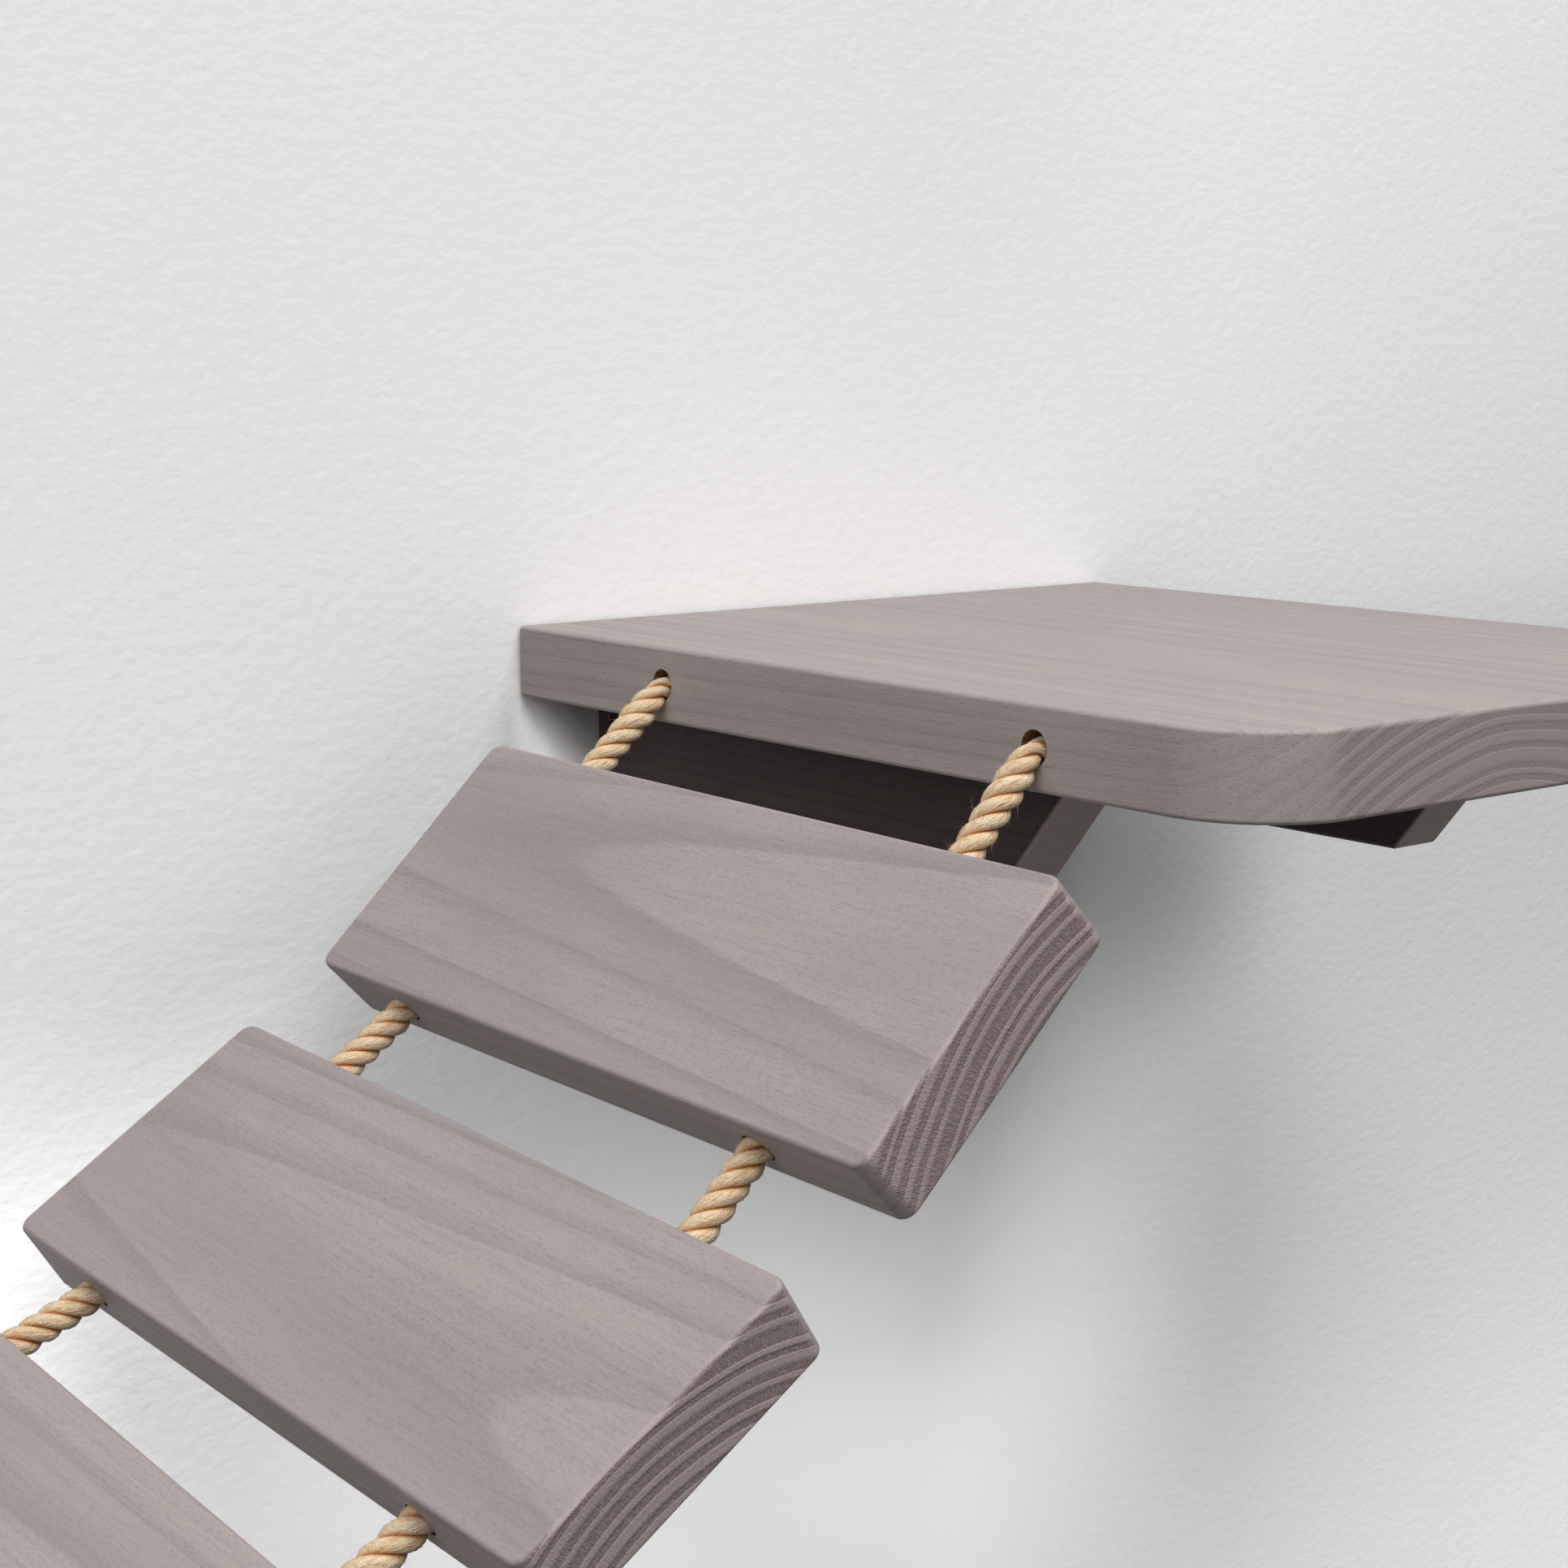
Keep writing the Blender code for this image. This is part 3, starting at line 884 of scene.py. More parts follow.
class Finishes:
    """Every finish of the bridge, made once."""

    def __init__(self) -> None:
        """Makes them."""
        self.board, self.plank, self.support_in_painted_shade = BOARD.make(), PLANK.make(), SUPPORT_IN_PAINTED_SHADE.make()
        self.raw, self.peg, self.zinc, self.zinc_in_painted_shade = RAW.make(), PEG.make(), ZINC.make(), ZINC_IN_PAINTED_SHADE.make()
        self.jute = Jute().make()


# ---------------------------------------------------------------- timber


@dataclass(frozen=True)
class Pith:
    """Where the middle of the tree lay, seen from a timber's centre.

    across and below are its place, the leans are how far it moves across and up in a metre along the grain,
    and seed moves the noise along the grain.
    """

    across: float
    below: float
    lean_across: float = 0.0
    lean_up: float = 0.0
    seed: float = 0.0


def mark_grain(
    item: bpy.types.Object,
    size: Sequence[float],
    pith: Pith,
    eased: float,
    grain: Grain = Grain.DEPTH,
    slant: tuple[Vector, Vector] | None = None,
) -> None:
    """Stores each vertex's place from the pith, and how far it is on the cut ends.

    Args:
        item: The timber, about its own centre.
        size: Its three sides.
        pith: Where the middle of the tree lay.
        eased: The radius of its edges.
        grain: Which way its fibres run.
        slant: A point of a slanted cut and the way it faces, where there is one.
    """
    x, y, z = (points_of(item)[:, axis] for axis in grain.value)
    places = (x - pith.across - pith.lean_across * y, y + pith.seed, z + pith.below - pith.lean_up * y)
    write_attribute(item, "grain", np.stack(places, axis=1))
    inset = size[grain.value[1]] / 2 - np.abs(y)
    if slant is not None:
        inset = np.minimum(inset, (np.array(slant[0]) - points_of(item)) @ np.array(slant[1]))
    write_attribute(item, "end_grain", np.clip((eased - inset) / eased * END_GAIN - END_SHIFT, 0, 1))


def bore_finish(
    item: bpy.types.Object,
    bores: Sequence[tuple[Vector, Vector]],
    radius: float,
    outside: bpy.types.Material,
    inside: bpy.types.Material,
) -> None:
    """Gives the walls and the blind ends of some bores the raw wood, and the rest the washed one.

    Args:
        item: The timber.
        bores: Both ends of each bore's middle line.
        radius: Their radius.
        outside: The washed wood.
        inside: The raw wood.
    """
    painted(item, outside, inside)
    for polygon in item.data.polygons:
        polygon.material_index = 0
        for start, end in bores:
            along = (end - start).normalized()
            offset = polygon.center - start
            away = (offset - along * offset.dot(along)).length
            wall = away < radius * AT_WALL and abs(polygon.normal.dot(along)) < SQUARE
            if wall or away < radius * AT_END:
                polygon.material_index = 1


# ---------------------------------------------------------------- fasteners


@dataclass(frozen=True)
class Screw:
    """A countersunk wood screw, with its head's flat top at height 0 and its point down.

    The rim is the head's upper edge, as shares of its radius and heights. The neck is the two steps under the
    head, and the shares of the shank are the radii of its smooth part, of the core under the thread and of the
    thread's foot on that core. The smooth share of the length has no thread, which starts a gap below it. The
    recess is the cross's span, width and depth as shares of the head.
    """

    shank: float
    head: float
    length: float
    pitch: float
    point: float = 0.005
    rim: tuple[tuple[float, float], ...] = (
        (0, -0.0001), (0.86, -0.0001), (0.965, -0.00022), (1, -0.0005), (0.97, -0.0008)
    )
    neck: Span = (0.0004, 0.001)
    neck_share: float = 0.92
    core_share: float = 0.36
    foot_share: float = 0.9
    smooth_share: float = 0.3
    run_out: float = 0.0006
    thread_gap: float = 0.001
    recess: tuple[float, float, float] = (0.5, 0.115, 0.3)
    recess_taper: float = 0.45
    thread_steps: int = 16
    thread_half: float = 0.24

    def cutter(self) -> bpy.types.Object:
        """Models the hole it sits in, larger all round.

        Returns:
            The cutter.
        """
        head, shank = self.head / 2 + SEAT_GAP, self.shank / 2 + SEAT_GAP
        sink, foot = (self.head - self.shank) / 2 + SEAT_GAP, -self.length - SEAT_GAP
        profile = [(0, OVERRUN), (head, OVERRUN), (head, 0), (shank, -sink), (shank, foot + self.point), (0, foot)]
        return turned("cutter", profile, 24)

    def build(self, name: str, finish: bpy.types.Material) -> bpy.types.Object:
        """Models the screw.

        Args:
            name: The object's name.
            finish: Its material.

        Returns:
            The screw.
        """
        head, shank, core = self.head / 2, self.shank / 2, self.shank * self.core_share
        sink, smooth = (self.head - self.shank) / 2, self.length * self.smooth_share
        profile = [(head * share, height) for share, height in self.rim] + [
            (shank, -sink - self.neck[0]),
            (shank * self.neck_share, -sink - self.neck[1]),
            (shank * self.neck_share, -smooth),
            (core, -smooth - self.run_out),
            (core, self.point - self.length),
            (0, -self.length),
        ]
        item = turned(name, profile)
        self.cut_recess(item)
        painted(item, finish)
        even_shading(item)
        thread = self.thread(core, shank, smooth, finish)
        select_only(item)
        thread.select_set(True)
        bpy.ops.object.join()
        return item

    def cut_recess(self, item: bpy.types.Object) -> None:
        """Cuts the cross recess, narrower at its foot, into the head.

        Args:
            item: The screw.
        """
        span, web, depth = (self.head * share for share in self.recess)
        foot = (self.recess_taper, self.recess_taper, 1.0)
        for turn in (0.0, math.pi / 2):
            wing = block("cutter", (span, web, depth * 2))
            wing.data.transform(Matrix.Rotation(turn, 4, "Z"))
            low = lambda edge: all(vert.co.z < 0 for vert in edge.verts)
            work_edges(wing, low, lambda: bpy.ops.transform.resize(value=foot))
            cut(item, wing)

    def thread(self, core: float, crest: float, smooth: float, finish: bpy.types.Material) -> bpy.types.Object:
        """The ridge that winds round the lower shank.

        Args:
            core: The radius under the thread.
            crest: The radius over it.
            smooth: The depth at which it starts.
            finish: Its material.

        Returns:
            The ridge, a closed mesh.
        """
        steps, low = self.thread_steps, self.length - self.point
        count = int((low - smooth - self.thread_gap) / self.pitch * steps)
        rings = []
        for n in range(count + 1):
            angle, height = 2 * math.pi * n / steps, -smooth - self.thread_gap - self.pitch * n / steps
            out = Vector((math.cos(angle), math.sin(angle), 0))
            reach = core + (crest - core) * min(1.0, n / steps, (count - n) / steps)
            half = self.pitch * self.thread_half
            rows = ((core, self.foot_share, half), (reach, 1, 0), (core, self.foot_share, -half))
            rings.append([out * radius * share + Vector((0, 0, height + up)) for radius, share, up in rows])
        return swept_mesh("thread", [rings], finish)


def swept_mesh(name: str, tubes: Sequence[Sequence[Sequence[Vector]]], finish: bpy.types.Material) -> bpy.types.Object:
    """Skins rows of rings as closed tubes.

    Args:
        name: The object's name.
        tubes: For each tube its rings, and for each ring its points in turn.
        finish: Its material.

    Returns:
        The object.
    """
    points, faces = [], []
    for rings in tubes:
        sides, base = len(rings[0]), len(points)
        for ring in rings:
            points += ring
        for n in range(len(rings) - 1):
            here, there = base + n * sides, base + (n + 1) * sides
            for side in range(sides):
                onward = (side + 1) % sides
                faces.append((here + side, here + onward, there + onward, there + side))
        faces.append(tuple(base + side for side in reversed(range(sides))))
        faces.append(tuple(base + (len(rings) - 1) * sides + side for side in range(sides)))
    item = from_points(name, points, faces=faces)
    painted(item, finish)
    whole_mesh(item)
    bpy.ops.object.shade_smooth()
    return item


# ---------------------------------------------------------------- hanging


@dataclass(frozen=True)
class PlankSizes:
    """One plank, and where the ropes pass through it."""

    width: float = 0.082
    back_end: float = 0.034
    front_end: float = 0.044
    thickness: float = 0.022
    corner: float = 0.004
    bore: float = 0.0045

    @property
    def shift(self) -> float:
        """How far its centre lies out into the room from the middle between its ropes."""
        return (self.front_end - self.back_end) / 2

    def size(self, spacing: float) -> Vector:
        """Its three sides, for ropes so far apart."""
        return Vector((self.width, self.back_end + spacing + self.front_end, self.thickness))


@dataclass
class Hung:
    """Where a plank hangs. Each dictionary has a point for each rope."""

    centre: Vector
    along: Vector
    across: Vector
    near: dict[Rope, Vector]
    far: dict[Rope, Vector]

    def middle(self, rope: Rope) -> Vector:
        """The point half way along a rope's bore."""
        return (self.near[rope] + self.far[rope]) / 2


@dataclass
class Hanging:
    """How the ropes hold the planks, from the weights: each link's slope is its place from mid span."""

    count: int = 7
    spacing: float = 0.155
    middle_y: float = -0.1535
    slope_step: float = 0.32
    slack_share: float = 0.075
    end_link: float = 0.036
    link: float = 0.029
    board_middle: float = 0.0313
    right_end_x: float = -0.125
    pivot_out: float = 0.0025
    plank: PlankSizes = PlankSizes()

    def rope_y(self, rope: Rope) -> float:
        """Where a rope leaves the shelves."""
        return self.middle_y - rope.value[1] * self.spacing / 2

    def link_slope(self, number: int) -> float:
        """Fall over run of a link. Link 0 leaves the right-hand shelf."""
        return (self.count / 2 - number) * self.slope_step

    def step_of(self, slope: float) -> Vector:
        """The unit step of a slope, away from the right-hand shelf."""
        return Vector((-1.0, 0.0, -slope)).normalized()

    def hang(self) -> tuple[list[Hung], float]:
        """Hangs the planks one after the other.

        Returns:
            The planks, and where the left-hand shelf's end face lies.
        """
        here = Vector((self.right_end_x - self.pivot_out, self.middle_y, self.board_middle))
        planks = []
        for number in range(1, self.count + 1):
            reach = self.end_link if number == 1 else self.link
            near = here + self.step_of(self.link_slope(number - 1)) * reach
            slope = (self.link_slope(number - 1) + self.link_slope(number)) / 2
            here = near + self.step_of(slope) * self.plank.width
            planks.append(self.tilted(near, here))
        last = here + self.step_of(self.link_slope(self.count)) * self.end_link
        return planks, last.x - self.pivot_out

    def tilted(self, near: Vector, far: Vector) -> Hung:
        """Tilts a plank into the room by what the front rope hangs deeper than the back one.

        Args:
            near: The middle of its edge nearer the right-hand shelf.
            far: The middle of its other edge.

        Returns:
            The plank's place.
        """
        centre, along = (near + far) / 2, (near - far).normalized()
        drop = self.slack_share * (self.board_middle - centre.z) / self.spacing
        across = Vector((0.0, -1.0, -drop))
        across = (across - along * across.dot(along)).normalized()
        near, far = (
            {
                rope: centre + along * end * self.plank.width / 2 + across * rope.value[1] * self.spacing / 2
                for rope in Rope
            }
            for end in (1, -1)
        )
        return Hung(centre, along, across, near, far)


@dataclass
class Planks:
    """The seven planks.

    The first one's pith is where the photograph shows it. The others' chances are the spans of its place across
    and below, and of its two leans.
    """

    hanging: Hanging
    finishes: Finishes
    eased: float = 0.0013
    mouth_eased: float = 0.0004
    first_pith: Pith = Pith(0.013, 0.0909, 0.0, -0.021)
    chances: tuple[Span, ...] = ((-0.03, 0.03), (0.07, 0.13), (-0.05, 0.05), (-0.03, 0.03))
    seed_step: float = 0.7

    def pattern(self) -> bpy.types.Object:
        """Models one plank about its centre: rounded, eased, and bored for both ropes.

        Returns:
            The plank.
        """
        sizes = self.hanging.plank
        item = block("plank", sizes.size(self.hanging.spacing))
        round_edges(item, is_upright, sizes.corner, 6)
        round_edges(item, is_sharp, self.eased, 4)
        for start, end in self.bores():
            cut(item, rod(start, end, sizes.bore))
        round_edges(item, at_end(sizes.width / 2 - SEAT_GAP), self.mouth_eased, 2)
        even_shading(item)
        return item

    def bores(self) -> list[tuple[Vector, Vector]]:
        """Finds the bores for both ropes.

        Returns:
            Both ends of each one's middle line, about the plank's centre.
        """
        sizes = self.hanging.plank
        reach = sizes.width / 2 + OVERRUN
        places = [sizes.shift - rope.value[1] * self.hanging.spacing / 2 for rope in Rope]
        return [(Vector((-reach, y, 0)), Vector((reach, y, 0))) for y in places]

    def build(self, hung: Sequence[Hung]) -> None:
        """Places a copy of the pattern for each plank.

        Args:
            hung: Where the planks hang.
        """
        pattern, sizes = self.pattern(), self.hanging.plank
        chance = random.Random(7)
        for number, place in enumerate(hung, 1):
            item = copied(pattern, f"plank_{number}_timber")
            pith = self.first_pith
            if number > 1:
                pith = Pith(*(chance.uniform(*span) for span in self.chances), number * self.seed_step)
            mark_grain(item, sizes.size(self.hanging.spacing), pith, self.eased)
            bore_finish(item, self.bores(), sizes.bore, self.finishes.plank, self.finishes.raw)
            up = place.along.cross(-place.across)
            turn = Matrix((place.along, -place.across, up)).transposed().to_4x4()
            item.data.transform(Matrix.Translation(place.centre + place.across * sizes.shift) @ turn)
            hand_over(item, f"plank_{number}", [PLANK_BODIES[number - 1]])
        bpy.data.objects.remove(pattern)


# ---------------------------------------------------------------- ropes


@dataclass
class Frame:
    """A point of a line, the way on, and two ways square to it."""

    point: Vector
    tangent: Vector
    side: Vector
    up: Vector


@dataclass(frozen=True)
class Hair:
    """How loose fibres stand off a rope.

    A span holds the ends of one even chance, and a stray is how far a lean spreads to both sides. The longest
    are longer than the shortest by at most so much, and the power makes long ones rare. The depth is the share of
    the strand at which one grows, and inside is the stretch of the free rope that has them.
    """

    per_metre: int = 5200
    shortest: float = 0.0008
    longer: float = 0.0032
    power: float = 2.4
    thickness: Span = (0.00002, 0.000045)
    taper: float = 0.75
    inside: Span = (0.02, 0.98)
    depth: float = 0.94
    root_stray: float = 0.5
    rise: Span = (0.1, 0.7)
    stray: float = 0.3
    curl: Span = (-0.5, 0.9)
    curl_stray: float = 0.6
    curl_share: Span = (0.2, 1.0)
    parts: int = 4
    sides: tuple[float, ...] = (0.0, 2.094, 4.189)


@dataclass
class LaidRope:
    """Both ropes: three plump strands laid right-handed, with loose hairs.

    helix is the radius of the strands' middle lines and strand is that of each. A squeeze or a bulge is a share
    of the rope, with how far along the rope it lies from a shelf's mouth, where that isn't 0, and its reach. The
    overlap is in rings, where the ropes are opened. A phase is the turn of a piece's first strand, at the end of
    each rope and from link to link. The yarn's shifts are of the material's noise, in a metre of rope and from
    strand to strand.
    """

    hanging: Hanging
    finishes: Finishes
    helix: float = 0.00235
    strand: float = 0.00196
    lay: float = 0.0174
    rings_per_turn: int = 20
    sides: int = 14
    plank_bend: float = 0.030
    mouth_bend: float = 0.005
    bend_steps: int = 16
    anchor: float = 0.0747
    mouth_drop: float = 0.0009
    mouth_out: float = 0.0008
    squeeze: tuple[float, float] = (0.27, 0.0042)
    bulge: tuple[float, float, float] = (0.08, 0.011, 0.0045)
    overlap: int = 4
    overlap_share: float = 0.92
    wave: float = 0.032
    wave_rates: Span = (260, 700)
    yarn_turn: float = 0.012
    yarn_shift: Span = (1.37, 0.5)
    end_phases: tuple[tuple[Rope, float], ...] = ((Rope.BACK, 0.9), (Rope.FRONT, 2.1))
    link_phase: float = 0.4
    hair: Hair = Hair()

    def rounded(self, corners: Sequence[Vector], radii: Sequence[float]) -> list[Vector]:
        """Even points along straight runs whose inner corners are rounded.

        Args:
            corners: The ends and corners of the runs.
            radii: The bend radius of each inner corner.

        Returns:
            The points.
        """
        route = [corners[0]]
        for before, corner, after, radius in zip(corners, corners[1:], corners[2:], radii):
            inward, outward = (corner - before).normalized(), (after - corner).normalized()
            bend = inward.angle(outward)
            start = corner - inward * radius * math.tan(bend / 2)
            centre = corner + (outward - inward).normalized() * radius / math.cos(bend / 2)
            axis = inward.cross(outward).normalized()
            for step in range(self.bend_steps + 1):
                route.append(centre + Matrix.Rotation(bend * step / self.bend_steps, 3, axis) @ (start - centre))
        route.append(corners[-1])
        points = np.array([tuple(point) for point in route])
        lengths = np.concatenate(([0.0], np.cumsum(np.linalg.norm(np.diff(points, axis=0), axis=1))))
        count = max(2, round(lengths[-1] / self.lay * self.rings_per_turn))
        places = np.linspace(0.0, lengths[-1], count + 1)
        return [Vector([float(np.interp(s, lengths, points[:, axis])) for axis in range(3)]) for s in places]

    def frames(self, line: Sequence[Vector]) -> list[Frame]:
        """One frame for each point of a line.

        Args:
            line: The points.

        Returns:
            The frames.
        """
        made = []
        for n, point in enumerate(line):
            tangent = (line[min(n + 1, len(line) - 1)] - line[max(n - 1, 0)]).normalized()
            side = Vector((0, 1, 0))
            side = (side - tangent * side.dot(tangent)).normalized()
            made.append(Frame(point, tangent, side, tangent.cross(side)))
        return made

    def strand_ways(self, at: Frame, run: float, phase: float, strand: int) -> tuple[Vector, Vector, Vector]:
        """How a strand lies at a frame.

        Args:
            at: The frame.
            run: How far along the rope it is.
            phase: The turn of the first strand at the start.
            strand: Which strand.

        Returns:
            The way out to the strand, the way it heads, and the way across both.
        """
        angle = phase + 2 * math.pi * (run / self.lay + strand / 3)
        out = at.side * math.cos(angle) + at.up * math.sin(angle)
        heading = (at.tangent * self.lay + at.tangent.cross(out) * 2 * math.pi * self.helix).normalized()
        return out, heading, heading.cross(out)

    def share_at(self, point: Vector, pinch: Vector | None, free: tuple[Vector, Vector]) -> float:
        """How thick the rope is near the mouth that squeezes it.

        Args:
            point: A point of its middle line.
            pinch: The mouth, where there is one.
            free: Where the rope comes free and where it is held again.

        Returns:
            The share of its full thickness.
        """
        if pinch is None:
            return 1.0
        from_mouth = (point - pinch).length
        share = 1.0 - self.squeeze[0] * math.exp(-((from_mouth / self.squeeze[1]) ** 2))
        if (point - pinch).dot(free[1] - free[0]) > 0:
            bulge, place, reach = self.bulge
            share += bulge * math.exp(-(((from_mouth - place) / reach) ** 2))
        return share

    def lay_up(
        self,
        name: str,
        line: Sequence[Vector],
        phase: float,
        free: tuple[Vector, Vector],
        slim: tuple[int, int] = (0, 0),
        pinch: Vector | None = None,
    ) -> bpy.types.Object:
        """Lays three strands round a line.

        Args:
            name: The object's name.
            line: Even points along the middle of the rope.
            phase: The turn of the first strand at the start.
            free: Where the rope comes free and where it is held again, for its hairs.
            slim: How many rings at the start and at the end are drawn in, to sit inside the next piece.
            pinch: Where the rope is squeezed, at the mouth of a bore.

        Returns:
            The rope, with its attributes.
        """
        tubes, fibres, plumps = [], [], []
        step = (line[1] - line[0]).length
        frames = self.frames(line)
        chance = random.Random(phase)
        for strand in range(3):
            rings = []
            waves = [(chance.uniform(0, 6.3), chance.uniform(*self.wave_rates)) for _ in range(3)]
            for n, at in enumerate(frames):
                drawn = n < slim[0] or n >= len(frames) - slim[1]
                share = self.overlap_share if drawn else self.share_at(at.point, pinch, free)
                thick = share * (1 + self.wave * sum(math.sin(start + at.point.x * rate) for start, rate in waves))
                out, _, flank = self.strand_ways(at, n * step, phase, strand)
                centre = at.point + out * self.helix * share
                rings.append([])
                for turn in range(self.sides):
                    way = 2 * math.pi * turn / self.sides
                    place = centre + (out * math.cos(way) + flank * math.sin(way)) * self.strand * thick
                    rings[-1].append(place)
                    away = place - at.point
                    away -= at.tangent * away.dot(at.tangent)
                    # How far out from the rope's middle the point lies; the yarn paints shade into the creases from it.
                    plumps.append(away.length / (self.helix + self.strand) / share)
                    twist = way + n * step * 2 * math.pi / self.yarn_turn
                    across, up = math.cos(twist) * self.strand, math.sin(twist) * self.strand
                    fibres.append((n * step * self.yarn_shift[0] + strand * self.yarn_shift[1], across, up))
            tubes.append(rings)
        hairs = self.hairs(name, frames, free, phase, step)
        loose = [tuple(place) for rings in hairs for ring in rings for place in ring]
        item = swept_mesh(name, tubes + hairs, self.finishes.jute)
        write_attribute(item, "fibre", np.array(fibres + loose))
        write_attribute(item, "plump", np.array(plumps + [1.0] * len(loose)))
        return item

    def hairs(
        self, name: str, frames: Sequence[Frame], free: tuple[Vector, Vector], phase: float, step: float
    ) -> list[list[list[Vector]]]:
        """Loose fibres that stand off the free rope.

        Args:
            name: The rope piece's name, which settles the chances.
            frames: The rope's frames.
            free: The ends of its free stretch.
            phase: The turn of the first strand at the start.
            step: The distance from frame to frame.

        Returns:
            The rings of each hair.
        """
        chance, rule = random.Random(name), self.hair
        start, run = free[0], free[1] - free[0]
        shares = [(at.point - start).dot(run) / run.length_squared for at in frames]
        inside = [n for n, share in enumerate(shares) if rule.inside[0] < share < rule.inside[1]]
        made = []
        for _ in range(int(run.length * rule.per_metre)):
            n = chance.choice(inside)
            strand, lean = chance.randrange(3), chance.gauss(0, rule.root_stray)
            out, heading, flank = self.strand_ways(frames[n], n * step, phase, strand)
            away = (out * math.cos(lean) + flank * math.sin(lean)).normalized()
            root = frames[n].point + out * self.helix + away * self.strand * rule.depth
            way = heading * chance.choice((-1, 1)) + away * chance.uniform(*rule.rise)
            way = (way + flank * chance.gauss(0, rule.stray)).normalized()
            curl = away * chance.uniform(*rule.curl) + flank * chance.gauss(0, rule.curl_stray)
            curl = curl * chance.uniform(*rule.curl_share)
            length = rule.shortest + rule.longer * chance.random() ** rule.power
            thick = chance.uniform(*rule.thickness)
            one = way.orthogonal().normalized()
            two = way.cross(one)
            made.append([])
            for part in range(rule.parts + 1):
                along = part / rule.parts
                middle = root + (way * along + curl * along * along * 0.5) * length
                radius = thick * (1 - rule.taper * along)
                ring = [middle + (one * math.cos(a) + two * math.sin(a)) * radius for a in rule.sides]
                made[-1].append(ring)
        return made

    def build(self, hung: Sequence[Hung], left_end_x: float) -> None:
        """Lays both ropes, one piece from the middle of each plank to the middle of the next.

        Args:
            hung: Where the planks hang.
            left_end_x: Where the left-hand shelf's end face lies.
        """
        for rope in Rope:
            self.build_end(hung[0], rope, Side.RIGHT, self.hanging.right_end_x)
            self.build_end(hung[-1], rope, Side.LEFT, left_end_x)
            for number, (one, two) in enumerate(zip(hung, hung[1:]), 1):
                self.build_link(number, one, two, rope)

    def build_end(self, plank: Hung, rope: Rope, side: Side, end_x: float) -> None:
        """The rope from a shelf's blind bore to the middle of its nearest plank.

        Args:
            plank: The nearest plank.
            rope: Which rope.
            side: Which shelf.
            end_x: Where the shelf's end face lies.
        """
        name, inward = side.value
        near, body = (plank.near, PLANK_BODIES[0]) if side is Side.RIGHT else (plank.far, PLANK_BODIES[-1])
        mouth = Vector((end_x, self.hanging.rope_y(rope), self.hanging.board_middle))
        lip = mouth - Vector((inward * self.mouth_out, 0, self.mouth_drop))
        corners = [mouth + Vector((inward * self.anchor, 0, 0)), lip, near[rope], plank.middle(rope)]
        line = self.rounded(corners, [self.mouth_bend, self.plank_bend])
        phase = dict(self.end_phases)[rope]
        pinch = mouth - Vector((0, 0, self.mouth_drop))
        item = self.lay_up(f"rope_{rope.value[0]}_{name}_end", line, phase, (lip, near[rope]), pinch=pinch)
        node = f"rope_end_{name}_{rope.value[0]}"
        hand_over(item, node, (SHELVES, body), (mouth, near[rope]))

    def build_link(self, number: int, one: Hung, two: Hung, rope: Rope) -> None:
        """The rope from the middle of one plank to the middle of the next, opened at the middle link.

        Args:
            number: The number of the first of the two planks.
            one: The first plank.
            two: The plank after it.
            rope: Which rope.
        """
        free = (one.far[rope], two.near[rope])
        line = self.rounded([one.middle(rope), *free, two.middle(rope)], [self.plank_bend] * 2)
        opened = (self.hanging.count + 1) // 2
        bodies = PLANK_BODIES[number - 1 : number + 1]
        name, phase = rope.value[0], self.link_phase * number
        if number != opened:
            item = self.lay_up(f"rope_{name}_link_{number}", line, phase, free)
            if number < opened:
                hand_over(item, f"rope_{name}_plank_{number}", bodies, free)
            else:
                hand_over(item, f"rope_{name}_plank_{number + 1}", bodies[::-1], free[::-1])
            return
        half, over = len(line) // 2, self.overlap
        middle, start = line[half], half - over
        onward = phase + 2 * math.pi * start * (line[1] - line[0]).length / self.lay
        name = f"rope_{name}"
        right = self.lay_up(
            f"{name}_link_{number}_right", line[: half + 1 + over], phase, (free[0], middle), (0, over)
        )
        left = self.lay_up(f"{name}_link_{number}_left", line[start:], onward, (middle, free[1]), (over, 0))
        for item, node, body in zip((right, left), (number, number + 1), bodies):
            hand_over(item, f"{name}_plank_{node}", [body])


# ---------------------------------------------------------------- shelves

BOARD_PITHS = {Side.RIGHT: Pith(-0.03, 0.11, 0.02, 0.006, 3.3), Side.LEFT: Pith(-0.05, 0.14, -0.03, 0.01, 8.1)}
RAIL_PITH = Pith(0.03, 0.07, 0.01, 0.01, 5.2)
BRACKET_PITH = Pith(0.01, 0.055, 0.02, 0.015)


